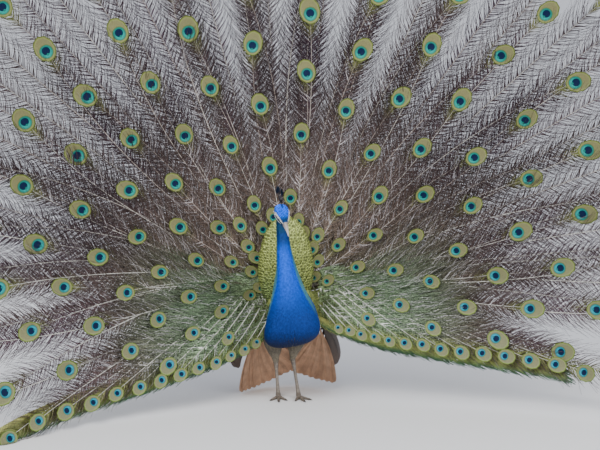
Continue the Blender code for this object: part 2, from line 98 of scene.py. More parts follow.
def fan_point(r, t, forward=0.0):
    """Point of the dish: polar in X and Z round the hub, swept towards -Y with the square of r."""
    a = fan_angle(r, t)
    b = np.abs(a - FAN_AXIS)
    bend = LEAN + SWEEP * np.sin(b) ** 2 + LOW_SWEEP * ease((b - math.radians(80)) / math.radians(45))
    y = HUB[1] - ROOT_FORWARD * flank(t) - bend * (r / 1.3) ** 2 - forward
    z = np.maximum(HUB[2] + r * np.cos(a), 0.004)
    return np.stack(np.broadcast_arrays(HUB[0] + r * np.sin(a), y, z), -1)


def dish_point(xz, forward=0.0):
    """Point of the dish over a place in X and Z: its depth is that of the fan coordinates there."""
    away = xz - HUB[[0, 2]]
    r = np.hypot(away[..., 0], away[..., 1])
    return fan_point(r, fan_line(r, np.arctan2(away[..., 0], away[..., 1])), forward)


def unit(v):
    return v / np.maximum(np.linalg.norm(v, axis=-1, keepdims=True), 1e-12)


def add_piece(name, points, quads, material, tone=None, marks=None, place=None, smooth=True):
    """One mesh of quads. tone is a colour per point, marks a UV per corner, place the bake UV per corner."""
    points = np.asarray(points, float).reshape(-1, 3) + MOVE
    quads = np.asarray(quads, np.int32).reshape(-1, 4)
    mesh = bpy.data.meshes.new(name)
    mesh.vertices.add(len(points))
    mesh.vertices.foreach_set("co", points.astype(np.float32).ravel())
    mesh.loops.add(quads.size)
    mesh.loops.foreach_set("vertex_index", quads.ravel())
    mesh.polygons.add(len(quads))
    mesh.polygons.foreach_set("loop_start", np.arange(0, quads.size, 4, dtype=np.int32))
    mesh.update(calc_edges=True)
    if place is not None:
        layer = mesh.uv_layers.new(name="OFBake")
        layer.uv.foreach_set("vector", np.asarray(place, np.float32).ravel())
    if marks is not None:
        layer = mesh.uv_layers.new(name="marks")
        layer.uv.foreach_set("vector", np.asarray(marks, np.float32).ravel())
    if tone is not None:
        rgba = np.ones((len(points), 4), np.float32)
        rgba[:, :3] = np.asarray(tone, float).reshape(-1, 3)
        mesh.attributes.new("tone", "FLOAT_COLOR", "POINT").data.foreach_set("color", rgba.ravel())
    mesh.polygons.foreach_set("use_smooth", np.full(len(quads), smooth))
    mesh.materials.append(material)
    piece = bpy.data.objects.new(name, mesh)
    bpy.context.scene.collection.objects.link(piece)
    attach(piece, "root")
    return piece


def add_strips(name, path, across, half, material, tone, place, crown=0.0, lift=None, columns=2):
    """Many ribbons as one mesh: point = path + across * half * c + lift * crown * half * (1 - c^2).

    path and across are [strip, row, 3], half is [strip, row], c runs from -1 to 1 over the
    columns. marks holds (c, row / rows); place holds a patch 0.003 wide round each root's place.
    """
    strips, rows = path.shape[:2]
    c = np.linspace(-1.0, 1.0, columns)
    grid = path[:, :, None] + across[:, :, None] * (half[:, :, None] * c)[..., None]
    if lift is not None:
        grid = grid + lift[:, :, None] * (crown * half[:, :, None] * (1.0 - c * c))[..., None]
    index = np.arange(strips * rows * columns).reshape(strips, rows, columns)
    quads = np.stack((index[:, :-1, :-1], index[:, :-1, 1:], index[:, 1:, 1:], index[:, 1:, :-1]), -1)
    row = np.linspace(0.0, 1.0, rows)
    marks = np.stack(np.broadcast_arrays(c[None, None, :], row[None, :, None] + np.zeros((strips, 1, 1))), -1)
    patch = place[:, None, None] + 0.0015 * (marks * (1.0, 2.0) - (0.0, 1.0))
    corner = quads.reshape(-1)
    if tone.ndim == 2:
        tone = np.repeat(tone[:, None], rows, 1)
    tone = np.repeat(tone[:, :, None], columns, 2)
    return add_piece(name, grid, quads, material, tone,
                     marks.reshape(-1, 2)[corner], patch.reshape(-1, 2)[corner])


def shader(name, roughness=0.6, metallic=0.0, tint=(1, 1, 1)):
    """A new material and its Principled shader."""
    material = bpy.data.materials.new(name)
    material.use_nodes = True
    surface = material.node_tree.nodes["Principled BSDF"]
    surface.inputs["Base Color"].default_value = (*tint, 1.0)
    surface.inputs["Roughness"].default_value = roughness
    surface.inputs["Metallic"].default_value = metallic
    return material, surface


def node(material, kind, inputs=None, **settings):
    """Adds one shader node; inputs maps a socket to a number, a colour or another node's socket."""
    made = material.node_tree.nodes.new("ShaderNode" + kind)
    for key, value in settings.items():
        setattr(made, key, value)
    for key, value in (inputs or {}).items():
        if isinstance(value, bpy.types.NodeSocket):
            material.node_tree.links.new(value, made.inputs[key])
        else:
            made.inputs[key].default_value = value
    return made


def sum_of(material, operation, a, b=0.0):
    return node(material, "Math", {0: a, 1: b}, operation=operation).outputs[0]


def own_tone(material):
    """The colour that a piece carries at its corners."""
    return node(material, "Attribute", attribute_name="tone").outputs["Color"]


def own_marks(material):
    """The place on each feather: across it, and from root to tip."""
    return node(material, "UVMap", uv_map="marks").outputs[0]


def dimmed(material, colour, amount):
    return node(material, "VectorMath", {0: colour, 3: amount}, operation="SCALE").outputs[0]


def oval_distance(material, marks, middle, narrow):
    """How far a place on a feather lies from an oval's middle: length of (marks - middle) x narrow."""
    moved = node(material, "VectorMath", {0: marks, 1: middle}, operation="SUBTRACT").outputs[0]
    scaled = node(material, "VectorMath", {0: moved, 1: narrow}, operation="MULTIPLY").outputs[0]
    return node(material, "VectorMath", {0: scaled}, operation="LENGTH").outputs["Value"]


def emboss(material, surface, height, strength, depth):
    """Raises the surface by a pattern, as a bump of that depth in metres."""
    bump = node(material, "Bump", {"Height": height, "Strength": strength, "Distance": depth}).outputs[0]
    material.node_tree.links.new(bump, surface.inputs["Normal"])


def vary(material, surface, colour, scale, low, high, stretch=(1, 1, 1)):
    """Multiplies a colour by noise in object space, from low to high, and feeds the base colour."""
    place = node(material, "TexCoord").outputs["Object"]
    place = node(material, "Mapping", {"Vector": place, "Scale": stretch}).outputs[0]
    grain = node(material, "TexNoise", {"Vector": place, "Scale": scale, "Detail": 3.0}).outputs["Fac"]
    level = node(material, "MapRange", {"Value": grain, "From Min": 0.3, "From Max": 0.7,
                                        "To Min": low, "To Max": high}).outputs[0]
    shade = dimmed(material, colour, level)
    material.node_tree.links.new(shade, surface.inputs["Base Color"])
    return shade


def feather_finish(name, roughness, metallic, lines, depth, low=0.75, high=1.2, scale=60.0):
    """Feather vane: tone varied by noise, with fine barbs slanting from the shaft as colour and bump."""
    material, surface = shader(name, roughness, metallic)
    tone = own_tone(material)
    split = node(material, "SeparateXYZ", {0: own_marks(material)})
    slant = sum_of(material, "SUBTRACT", split.outputs[1], sum_of(
        material, "MULTIPLY", sum_of(material, "ABSOLUTE", split.outputs[0]), 0.35))
    wave = sum_of(material, "SINE", sum_of(material, "MULTIPLY", slant, lines))
    shade = vary(material, surface, tone, scale, low, high)
    fine = node(material, "MapRange", {"Value": wave, "From Min": -1.0, "To Min": 0.78, "To Max": 1.1})
    material.node_tree.links.new(dimmed(material, shade, fine.outputs[0]), surface.inputs["Base Color"])
    emboss(material, surface, wave, 0.5, depth)
    return material


# ---------------------------------------------------------------------- where each feather ends
# The eyes stand in a lattice of staggered rings, closer together towards the hub. One more row
# of small eyes runs along each lower edge, and a collar of the smallest ones hugs the back: for
# each of those COLLAR gives degrees round the back from straight up and distance in back sizes.
RINGS, COLUMNS = 12, 11
COLUMN_STEP = math.radians(10.75)
BACK_AT, BACK_SIZE = np.array((0.008, 0.482)), np.array((0.102, 0.180))   # the raised back, in X and Z
COLLAR = ((-119, 1.42), (-103, 1.17), (-80, 1.28), (-67, 1.65), (-55, 0.97), (9, 1.17),
          (32, 0.82), (70, 1.18), (95, 1.13), (108, 1.50), (-123, 1.05), (-90, 1.00),
          (-27, 0.90), (55, 0.77), (81, 0.96), (112, 1.08))

ring, column = np.meshgrid(np.arange(RINGS), np.arange(-COLUMNS, COLUMNS + 1), indexing="ij")
staggered = (ring + column) % 2 == 1
ring, column = ring[staggered].astype(float), column[staggered].astype(float)
lattice_r = 0.258 + 0.114 * ring - 0.001 * ring ** 2
lattice_a = COLUMN_STEP * column
lattice_a = lattice_a + math.radians(3.66) * np.sin(2 * lattice_a) + math.radians(3.5)
low = ease((np.abs(lattice_a) - math.radians(60)) / math.radians(42))
lattice_a = lattice_a * (1.0 - 0.020 * low)
lattice_r = lattice_r * (1.0 - np.where(lattice_a < 0, 0.03, 0.055) * low)
lattice_t = fan_line(lattice_r, lattice_a)
ahead = HUB[[0, 2]] + lattice_r[:, None] * np.stack((np.sin(lattice_a), np.cos(lattice_a)), -1)
clear_of_back = np.hypot(*((ahead - BACK_AT) / (BACK_SIZE * (1.42, 1.26))).T) > 1.0
edge_gap = 0.055 + 0.045 / (0.2 + lattice_r)
inside = (np.abs(lattice_t) < 0.985 - edge_gap / 1.9) & (lattice_r < fan_rim(lattice_t) - 0.045)
keep = clear_of_back & inside

right_n, left_n = np.arange(15.0), np.arange(17.0)
edge_r = np.concatenate((0.175 + 0.043 * right_n + 0.0021 * right_n ** 2,
                         0.150 + 0.036 * left_n + 0.0018 * left_n ** 2))
edge_t = np.concatenate((-0.925 - 0.055 * edge_r[:len(right_n)], 0.900 + 0.075 * edge_r[len(right_n):]))
edge_t = np.clip(edge_t, -0.975, 0.965)
fits = edge_r < fan_rim(edge_t) - 0.03

collar_q, reach = np.radians(np.array(COLLAR)[:, :1]), np.array(COLLAR)[:, 1:]
collar = BACK_AT + BACK_SIZE * reach * np.concatenate((np.sin(collar_q), np.cos(collar_q)), -1)
collar_r = np.hypot(*(collar - HUB[[0, 2]]).T)
collar_t = fan_line(collar_r, np.arctan2(*(collar - HUB[[0, 2]]).T))

eye_r = np.concatenate((lattice_r[keep], edge_r[fits], collar_r))
eye_t = np.concatenate((lattice_t[keep], edge_t[fits], collar_t))
eye_t = eye_t + rng.normal(0.0, 0.0025, len(eye_t))
is_edge = np.concatenate((np.zeros(keep.sum()), np.ones(fits.sum()), np.zeros(len(collar_t)))) > 0
eye_size = np.clip(0.60 + 0.84 * eye_r - 0.16 * eye_r ** 2, 0.66, 1.30) * rng.uniform(0.94, 1.06, len(eye_r))
eye_forward = 0.016 + 0.020 * (1.0 - eye_r / RIM) + rng.uniform(-0.002, 0.002, len(eye_r))
eye_forward = eye_forward + 0.010 * is_edge

# The longest feathers have no eye: they stand between the outer columns and end in a fishtail.
fish_t = np.concatenate([(np.arange(-9, 9) + k) * 0.0986 for k in (0.32, 0.68)])
fish_r = fan_rim(fish_t) - 0.012 + rng.uniform(-0.012, 0.004, len(fish_t))

feather_t = np.concatenate((eye_t, fish_t))
feather_end = np.concatenate((eye_r, fish_r))
feather_size = np.concatenate((eye_size, np.ones(len(fish_t))))
feather_forward = np.concatenate((eye_forward, np.full(len(fish_t), 0.012)))
is_fish = np.arange(len(feather_t)) >= len(eye_t)
feather_low = flank(feather_t)
feather_is_edge = np.concatenate((is_edge, np.zeros(len(fish_t), bool)))

# Roots sit in a band round the rump, higher on the back for the flanks. Each feather bows a little
# to one side, so that long ones pass between the eyes of the shorter.
rank = np.concatenate((((ring - ring % 2) / 2)[keep], np.tile((1.0, 2.0), len(edge_r))[:fits.sum()],
                       np.zeros(len(collar_r)), np.full(len(fish_t), 5.0))).astype(int)
bow = np.array((0.12, -0.14, 0.26, -0.26, 0.46, 0.0))[rank] * rng.choice((-1.0, 1.0), len(feather_t))
bow = bow * np.where(feather_is_edge, 0.25, 1.0)
end_angle = fan_angle(feather_end, feather_t)
high_root = ease((np.abs(end_angle) - math.radians(58)) / math.radians(52))
high_root = high_root * np.minimum(1.0, feather_end / 0.42)
root_xz = HUB[[0, 2]] + np.stack((0.085 * np.sin(end_angle), 0.10 * np.cos(end_angle) + 0.16 * high_root), -1)
end_xz = HUB[[0, 2]] + feather_end[:, None] * np.stack((np.sin(end_angle), np.cos(end_angle)), -1)


def along_feather(which, u, forward=0.0):
    """Point of feather which at share u of its length, root to eye: straight in X and Z, plus its bow."""
    line = (end_xz - root_xz)[which]
    square = np.stack((line[..., 1], -line[..., 0]), -1)
    reach = u[..., None]
    lean = (bow[which] * 0.29)[..., None] * reach * (1.0 - reach ** 2)
    return dish_point(root_xz[which] + line * reach + square * lean, forward)


feather_length = np.hypot(*(end_xz - root_xz).T)


def feather_place(r, t):
    """Bake map of the train: the fan coordinates laid flat."""
    return np.stack((0.5 + 0.48 * t, 0.01 + 0.97 * r / 1.5), -1)


# ------------------------------------------------------------------------------ shafts of the train
# Each shaft is a stiff quill of pale horn, about 3 mm across at its root and thread-thin
# under the eye; it is ivory in the flanks and tanned brown where the upper barbs clasp it.
SHAFT_ROWS = 18

u = np.linspace(0.0, 1.0, SHAFT_ROWS)
every = np.arange(len(feather_t))[:, None]
past_end = 1.0 + np.where(is_fish, 0.0, 0.008) / feather_length
shaft_path = along_feather(every + 0 * u.astype(int), past_end[:, None] * u,
                           feather_forward[:, None] * ease(u * 3.0) + 0.0006)
shaft_across = unit(np.cross(np.gradient(shaft_path, axis=1), (0.0, 1.0, 0.0)))
shaft_half = (0.00155 - 0.00105 * u)[None, :] * (0.75 + 0.25 * feather_size + 0.45 * feather_low)[:, None]
ivory, tan = np.array((0.74, 0.71, 0.62)), np.array((0.36, 0.27, 0.22))
paleness = np.clip(feather_low * 1.1 + 0.45 + rng.uniform(-0.3, 0.35, len(feather_t)), 0, 1)[:, None]
shaft_tone = (tan + (ivory - tan) * paleness)[:, None] * (1.0 - 0.35 * u[None, :, None] ** 3)

quill, surface = shader("quill_horn", 0.38)
vary(quill, surface, own_tone(quill), 90.0, 0.62, 1.25)
add_strips("train_shafts", shaft_path, shaft_across, shaft_half, quill, shaft_tone,
           feather_place(np.full(len(feather_t), 0.1), feather_t), crown=1.1,
           lift=np.broadcast_to((0.0, -1.0, 0.0), shaft_path.shape), columns=3)

# ------------------------------------------------------------------------------- barbs of the train
# Loose barbs leave each shaft on both sides, up to 12 cm long and about 4 mm apart, so the
# display shows through: bronze with a violet cast above, grey-green low down, olive at the eyes.
BARB_SPACING, BARB_ROWS = 0.0041, 4
VIOLET, BRONZE = np.array((0.022, 0.011, 0.017)), np.array((0.042, 0.030, 0.024))
OLIVE, GREEN = np.array((0.110, 0.125, 0.032)), np.array((0.066, 0.098, 0.056))

barb_start = 0.02 + 0.22 * np.maximum(feather_length - 0.20, 0.0) * (1.0 - 0.90 * feather_low)
barb_stop = feather_length + 0.028 * feather_size
count = np.maximum(((barb_stop - barb_start) / BARB_SPACING).astype(int), 4)
owner = np.repeat(np.arange(len(feather_t)), count)
step = np.arange(len(owner)) - np.repeat(np.cumsum(count) - count, count)
owner, step = np.tile(owner, 2), np.tile(step, 2)
side = np.repeat((-1.0, 1.0), len(owner) // 2)
travel = barb_start[owner] + (step + 0.5 * (side > 0)) * BARB_SPACING + rng.normal(0, 0.0006, len(owner))
left_over = feather_length[owner] - travel                    # distance still to go to the eye
on_shaft = np.minimum(travel, feather_length[owner] + 0.004) / feather_length[owner]
root = along_feather(owner, on_shaft, feather_forward[owner] - 0.0008)
beyond = along_feather(owner, on_shaft + 0.01, feather_forward[owner] - 0.0008)
root_r = np.hypot(root[:, 0] - HUB[0], root[:, 2] - HUB[2])
along = unit(beyond - root)
sideways = unit(np.cross(along, (0.0, 1.0, 0.0))) * side[:, None]
facing = unit(np.cross(sideways, along)) * side[:, None]
near_eye = ease(1.0 - left_over / (0.085 * feather_size[owner]))
size = 0.42 + 0.58 * np.minimum(feather_end[owner] / 0.95, 1.0)
length = size * (0.050 + 0.058 * ease((root_r - 0.10) / 0.40)) * (1.0 - 0.52 * near_eye)
length = length * np.where(left_over < 0, 0.62, 1.0) * rng.uniform(0.86, 1.12, len(owner))
slope = np.radians(47.0 - 10.0 * near_eye - np.where(left_over < 0, 30.0, 0.0) * ease(-left_over / 0.03))
slope = slope + rng.normal(0, 0.06, len(owner))
clump = np.sin(2 * math.pi * travel / 0.0190 + 3.0 * np.sin(26.0 * travel + owner) + 1.3 * side)
slope = slope + 0.115 * clump * (1.0 - near_eye)              # barbs cling in locks
fish = is_fish[owner] & (left_over < 0.07)
length = np.where(fish, 0.030 + 0.55 * (0.07 - left_over), length)
slope = np.where(fish, np.radians(34.0 + 16.0 * ease(1.0 - left_over / 0.07)), slope)
outward = np.sign(feather_t[owner]) == side                   # barbs of the flank's under side stay short
room = (1.0 - np.abs(fan_line(root_r, np.arctan2(root[:, 0] - HUB[0], root[:, 2] - HUB[2])))) * 1.9 * root_r
length = np.where(outward, np.minimum(length, 0.018 + 1.25 * np.maximum(room, 0.0)), length)

v = np.linspace(0.0, 1.0, BARB_ROWS)
turn = slope[:, None] + 0.12 - 0.66 * v * (1 + 0.3 * rng.standard_normal((len(owner), 1)))
step_out = np.concatenate((np.zeros((len(owner), 1)), np.cumsum(0.5 * (
    np.cos(turn[:, 1:]) + np.cos(turn[:, :-1])), 1)), 1) / (BARB_ROWS - 1)
step_side = np.concatenate((np.zeros((len(owner), 1)), np.cumsum(0.5 * (
    np.sin(turn[:, 1:]) + np.sin(turn[:, :-1])), 1)), 1) / (BARB_ROWS - 1)
push = rng.normal(0.0, 0.05, (len(owner), 1)) * v ** 1.5 - 0.03 * v
barb_path = (root[:, None] + length[:, None, None] * (
    along[:, None] * step_out[..., None] + sideways[:, None] * step_side[..., None]
    + facing[:, None] * push[..., None]))
barb_path[..., 2] = np.maximum(barb_path[..., 2], 0.002)
heading = unit(np.gradient(barb_path, axis=1))
roll = rng.normal(0.0, 0.5, (len(owner), 1, 1))
barb_across = unit(np.cross(heading, facing[:, None])) * np.cos(roll) + facing[:, None] * np.sin(roll)
close_low = feather_low[owner] * ease((0.80 - root_r) / 0.5)
barb_half = 0.00070 * (1.0 + 0.55 * near_eye + 0.5 * ease(1.0 - root_r / 0.55) + 0.9 * close_low)
barb_half = barb_half[:, None] * (0.45 + 1.50 * (1.0 - v) ** 2.4)

high = ease((root_r - 0.35) / 0.5)
warm = rng.uniform(0.0, 1.0, len(feather_t))[owner]
base = BRONZE + (VIOLET - BRONZE) * (high * (0.35 + 0.65 * warm))[:, None]
base = base + (GREEN - base) * (0.85 * feather_low[owner] * ease((0.66 - root_r) / 0.40))[:, None]
base = base * (1.0 + 1.4 * ease((0.75 - root_r) / 0.5) * (1.0 - feather_low[owner])
               + 0.9 * feather_low[owner] * ease((1.3 - root_r) / 0.4))[:, None]
base = base + (OLIVE - base) * (0.45 * ease(1.0 - root_r / 0.36))[:, None]
# Painted glints: about one barb in six near the body, fewer higher up, is paled halfway to grey-white as a
# painted highlight.
glint = (rng.uniform(0.0, 1.0, len(owner)) < 0.16 - 0.12 * high) & (near_eye < 0.1)
base = np.where(glint[:, None], base + 0.50 * (np.array((0.46, 0.43, 0.43)) - base), base)
base = base + (OLIVE - base) * near_eye[:, None]
base = base * (rng.uniform(0.78, 1.22, len(feather_t))[owner] * rng.uniform(0.8, 1.2, len(owner)))[:, None]
barb_tone = base[:, None] * (1.30 - 0.40 * v)[None, :, None]

barb, surface = shader("loose_barbs", 0.45, 0.25)
surface.inputs["Specular IOR Level"].default_value = 0.16
# The strong speckle along the barbs, from a third to twice their tone, is partly their own uneven colour and
# partly painted glints.
vary(barb, surface, own_tone(barb), 230.0, 0.35, 2.1)

SHARES = 3                                            # the coat is split so that each piece stays light
share = (np.abs(feather_t)[owner] * 0.9999 * SHARES).astype(int)
share = np.clip(share, 0, SHARES - 1)
for n in range(SHARES):
    mine = share == n
    piece = add_strips(f"train_barbs_{n + 1}", barb_path[mine], barb_across[mine], barb_half[mine], barb,
                       barb_tone[mine], feather_place(root_r[mine], feather_t[owner][mine]))
    if n == 0:
        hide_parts(*(f"train_outer_{k:02d}" for k in range(1, 17)))
        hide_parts(*(f"train_inner_{k:02d}" for k in range(1, 8)))

# ---------------------------------------------------------------------- closed web of the flanks
# Where the low feathers leave the body, their downy lower barbs lie so close that they make one
# grey-green sheet behind the pale shafts, gold where it meets the breast.
WEB_BARBS, WEB_REACH = 22000, 0.42

hand = np.where(rng.uniform(0.0, 1.0, WEB_BARBS) < 0.5, -1.0, 1.0)
web_r = 0.03 + (WEB_REACH - 0.03) * rng.uniform(0.0, 1.0, WEB_BARBS) ** 0.9
web_t = hand * rng.uniform(0.62, 0.985, WEB_BARBS)
behind = rng.uniform(0.001, 0.012, WEB_BARBS)
root = fan_point(web_r, web_t, -behind)
along = unit(fan_point(web_r + 0.01, web_t, -behind) - root)
flip = np.where(rng.uniform(0.0, 1.0, WEB_BARBS) < 0.5, -1.0, 1.0)
sideways = unit(np.cross(along, (0.0, 1.0, 0.0))) * flip[:, None]
room = np.where(sideways[:, 2] < 0.0, (1.0 - np.abs(web_t)) * 1.9 * web_r, 1.0)
v = np.linspace(0.0, 1.0, 4)
slope = np.radians(rng.normal(38.0, 8.0, WEB_BARBS))[:, None] - 0.35 * v
length = np.minimum(rng.uniform(0.035, 0.060, WEB_BARBS), 0.012 + 1.3 * room)
web_path = root[:, None] + length[:, None, None] * v[None, :, None] * (
    along[:, None] * np.cos(slope)[..., None] + sideways[:, None] * np.sin(slope)[..., None])
web_path[..., 2] = np.maximum(web_path[..., 2], 0.002)
web_across = unit(np.cross(np.gradient(web_path, axis=1), (0.0, 1.0, 0.0)))
web_half = 0.0009 * (1.0 - 0.5 * v) * np.ones((WEB_BARBS, 1))
web_base = GREEN + (np.array((0.200, 0.225, 0.070)) - GREEN) * ease((0.24 - web_r) / 0.12)[:, None]
web_tone = web_base * rng.uniform(0.75, 1.25, (WEB_BARBS, 1))
add_strips("train_flank_web", web_path, web_across, web_half, barb, web_tone,
           feather_place(web_r, web_t))

# -------------------------------------------------------------------------------- eyes of the train
# An eye is a close-knit oval of short barbs near the tip: a gold-green rim, a wide bronze field,
# a turquoise disc set towards the root and a dark blue heart in it. Each lies over its own shaft.
EYE_LONG, EYE_WIDE = 0.0345, 0.0270                   # half axes of the largest eye
EYE_RINGS, EYE_SIDES = 5, 20

eyes = np.arange(len(eye_r))
q = np.linspace(0.0, 2 * math.pi, EYE_SIDES, endpoint=False)
ray = np.linspace(0.0, 1.0, EYE_RINGS)
flat_u = ray[:, None] * np.cos(q)
flat_v = ray[:, None] * np.sin(q)
near_body = ease((0.90 - eye_r) / 0.30)                       # there the crowded barbs would hide an eye
proud = (eye_forward + 0.0110 + flank(eye_t) * (0.012 + 0.014 * near_body)
         + (1.0 - flank(eye_t)) * 0.018 * ease((np.abs(eye_t) - 0.35) / 0.20) * near_body)
centre = along_feather(eyes, np.ones(len(eyes)), proud)
beyond = along_feather(eyes, np.ones(len(eyes)) + 0.02 / feather_length[eyes], proud)
along = unit(beyond - centre)
sideways = unit(np.cross(along, (0.0, 1.0, 0.0)))
facing = unit(np.cross(sideways, along))
tilt = rng.normal(0.0, 0.10, (len(eyes), 1))
tilted = unit(along + tilt * sideways + rng.normal(0.0, 0.08, (len(eyes), 1)) * facing)
sideways = unit(sideways - tilt * along)
eye_size = np.where(is_edge, 0.82, 1.0) * eye_size
longer = np.where(is_edge, 0.96, 1.0) * eye_size
fray = 1.0 + 0.03 * np.sin(9 * q + 1.0)[None, None, :] * (ray == 1.0)[None, :, None]
lengthwise = EYE_LONG * longer[:, None, None] * fray * (flat_v + 0.12 * ray[:, None])
crosswise = EYE_WIDE * eye_size[:, None, None] * fray * flat_u
cupped = 0.0035 * eye_size[:, None] * (1.0 - ray ** 2)
points = (centre[:, None, None] + tilted[:, None, None] * lengthwise[..., None]
          + sideways[:, None, None] * crosswise[..., None]
          + facing[:, None, None] * cupped[:, :, None, None])
points[..., 2] = np.maximum(points[..., 2], 0.003)
index = np.arange(points[..., 0].size).reshape(len(eyes), EYE_RINGS, EYE_SIDES)
after = np.roll(index, -1, axis=2)
quads = np.stack((index[:, :-1], after[:, :-1], after[:, 1:], index[:, 1:]), -1).reshape(-1, 4)
marks = np.broadcast_to(np.stack((flat_u, flat_v), -1), (len(eyes), EYE_RINGS, EYE_SIDES, 2)).reshape(-1, 2)
across_map = int(math.ceil(math.sqrt(len(eyes))))
cell = (np.stack((eyes % across_map, eyes // across_map), -1) + 0.5) / across_map
place = (cell[:, None, None] + 0.44 / across_map * np.stack((flat_u, flat_v), -1)).reshape(-1, 2)
warmth = np.stack((flank(eye_t) * ease(0.75 + np.abs(eye_t) - eye_r), rng.uniform(0, 1, len(eyes)),
                   ease(1.4 - eye_r / 0.30)), -1)
tone = np.repeat(warmth[:, None], EYE_RINGS * EYE_SIDES, 1)

eye_spot, surface = shader("train_eye", 0.45, 0.10)
surface.inputs["Specular IOR Level"].default_value = 0.14
facts = node(eye_spot, "Attribute", attribute_name="tone").outputs["Vector"]
facts = node(eye_spot, "SeparateXYZ", {0: facts})
uv = own_marks(eye_spot)


def disc(at, radii, shrink=0.0):
    """Distance from a disc's middle in units of its radius, which shrinks in the smallest eyes."""
    away = oval_distance(eye_spot, uv, (*at, 0.0), (1 / radii[0], 1 / radii[1], 0.0))
    if not shrink:
        return away
    grown = 1.0
    for fact, share in ((facts.outputs[2], shrink), (facts.outputs[0], 0.17)):
        grown = node(eye_spot, "Math", {0: fact, 1: share, 2: grown}, operation="MULTIPLY_ADD").outputs[0]
    return sum_of(eye_spot, "MULTIPLY", away, grown)


def cover(under, over, distance, soft):
    """Lays one colour over another inside distance 1, with a soft edge."""
    amount = node(eye_spot, "MapRange", {"Value": distance, "From Min": 1.0 + soft, "From Max": 1.0 - soft})
    mixed = {0: amount.outputs[0], 6: under, 7: over}
    return node(eye_spot, "Mix", mixed, data_type="RGBA", clamp_factor=True).outputs[2]


def shade_of(one, other, amount):
    return node(eye_spot, "Mix", {0: amount, 6: one, 7: other}, data_type="RGBA").outputs[2]


lower = facts.outputs[0]
rim_colour = shade_of((0.095, 0.115, 0.022, 1), (0.12, 0.17, 0.030, 1), lower)
line_colour = shade_of((0.26, 0.29, 0.095, 1), (0.28, 0.32, 0.12, 1), lower)
field_colour = shade_of((0.185, 0.178, 0.078, 1), (0.195, 0.195, 0.100, 1), lower)
ring_colour = shade_of((0.006, 0.165, 0.125, 1), (0.010, 0.180, 0.230, 1), lower)
glow_colour = shade_of((0.014, 0.280, 0.235, 1), (0.024, 0.285, 0.400, 1), lower)
heart_colour = (0.000, 0.009, 0.040, 1)
colour = cover(rim_colour, line_colour, disc((0, 0.0), (0.88, 0.90)), 0.06)
colour = cover(colour, field_colour, disc((0, 0.0), (0.82, 0.85)), 0.06)
colour = cover(colour, (0.09, 0.14, 0.035, 1), disc((0, -0.21), (0.67, 0.56), 0.40), 0.05)
colour = cover(colour, ring_colour, disc((0, -0.21), (0.61, 0.51), 0.40), 0.04)
colour = cover(colour, glow_colour, disc((0, -0.28), (0.46, 0.38), 0.40), 0.20)
colour = cover(colour, heart_colour, disc((0, -0.13), (0.39, 0.32), 0.40), 0.08)
colour = cover(colour, ring_colour, disc((0, -0.43), (0.13, 0.10), 0.40), 0.25)
angle_wave = node(eye_spot, "SeparateXYZ", {0: uv})
spoke = sum_of(eye_spot, "ADD", angle_wave.outputs[1], 0.9)
spoke = sum_of(eye_spot, "ARCTAN2", angle_wave.outputs[0], spoke)
spoke = sum_of(eye_spot, "SINE", sum_of(eye_spot, "MULTIPLY", spoke, 95.0))
vary(eye_spot, surface, colour, 300.0, 0.86, 1.12)
emboss(eye_spot, surface, spoke, 0.35, 0.0004)
add_piece("train_eyes", points, quads, eye_spot, tone, marks[quads.reshape(-1)],
          place[quads.reshape(-1)])

# -------------------------------------------------------------------- green fringe of the lower edges
# The lowest feathers on each side carry dense barbs on their under side only, which close into a
# golden green hem below the last row of eyes and darken to bottle green at the very edge.
HEM_SPACING, HEM_LAYERS, HEM_ROWS = 0.0019, 4, 5

parts = []
for hand in (-1.0, 1.0):
    for layer in range(HEM_LAYERS):
        stop = float(fan_rim(np.array(hand))) + (0.02 if hand < 0 else -0.10)
        r = np.arange(0.100 if hand < 0 else 0.060, stop, HEM_SPACING)
        r = r + rng.uniform(-0.001, 0.001, len(r))
        parts.append(np.stack((r, np.full(len(r), hand), np.full(len(r), float(layer))), -1))
hem_r, hand, layer = np.concatenate(parts).T
width = 0.042 * ease((hem_r - 0.05) / 0.35) + 0.021
inner = 1.0 - (width * (0.82 + 0.55 * layer / HEM_LAYERS)) / (1.9 * hem_r + 0.05)
root = fan_point(np.minimum(hem_r, 1.02), hand * inner, 0.018 + 0.002 * layer)
beyond = fan_point(np.minimum(hem_r, 1.02) + 0.01, hand * inner, 0.018 + 0.002 * layer)
along = unit(beyond - root)
edge_way = fan_point(np.minimum(hem_r, 1.02), hand, 0.018) - root
sideways = unit(edge_way - along * np.sum(edge_way * along, -1, keepdims=True))
facing = unit(np.cross(sideways, along)) * -hand[:, None]
v = np.linspace(0.0, 1.0, HEM_ROWS)
slope = np.radians(50.0 + rng.normal(0, 3, len(hem_r)))
turn = slope[:, None] - 0.50 * v
length = width * rng.uniform(0.94, 1.05, len(hem_r)) * (1.52 - 0.12 * layer)
step_out = np.concatenate((np.zeros((len(hem_r), 1)), np.cumsum(np.cos(turn[:, 1:]), 1)), 1) / (HEM_ROWS - 1)
step_side = np.concatenate((np.zeros((len(hem_r), 1)), np.cumsum(np.sin(turn[:, 1:]), 1)), 1) / (HEM_ROWS - 1)
hem_path = root[:, None] + length[:, None, None] * (
    along[:, None] * step_out[..., None] + sideways[:, None] * step_side[..., None]
    + facing[:, None] * (0.06 * v ** 2)[None, :, None])
hem_path[..., 2] = np.maximum(hem_path[..., 2], 0.002)
heading = unit(np.gradient(hem_path, axis=1))
hem_across = unit(np.cross(heading, facing[:, None]))
hem_half = np.broadcast_to(0.0015 * (1.0 - 0.6 * v ** 2), hem_path.shape[:2])
gold, leaf, bottle = np.array(((0.215, 0.215, 0.048), (0.070, 0.155, 0.032), (0.010, 0.055, 0.026)))
shade = gold + (leaf - gold) * ease((v - 0.25) * 2.0)[:, None]
shade = shade + (bottle - shade) * ease((v - 0.50) / 0.42)[:, None]
hem_tone = shade[None] * rng.uniform(0.7, 1.3, (len(hem_r), 1, 1))

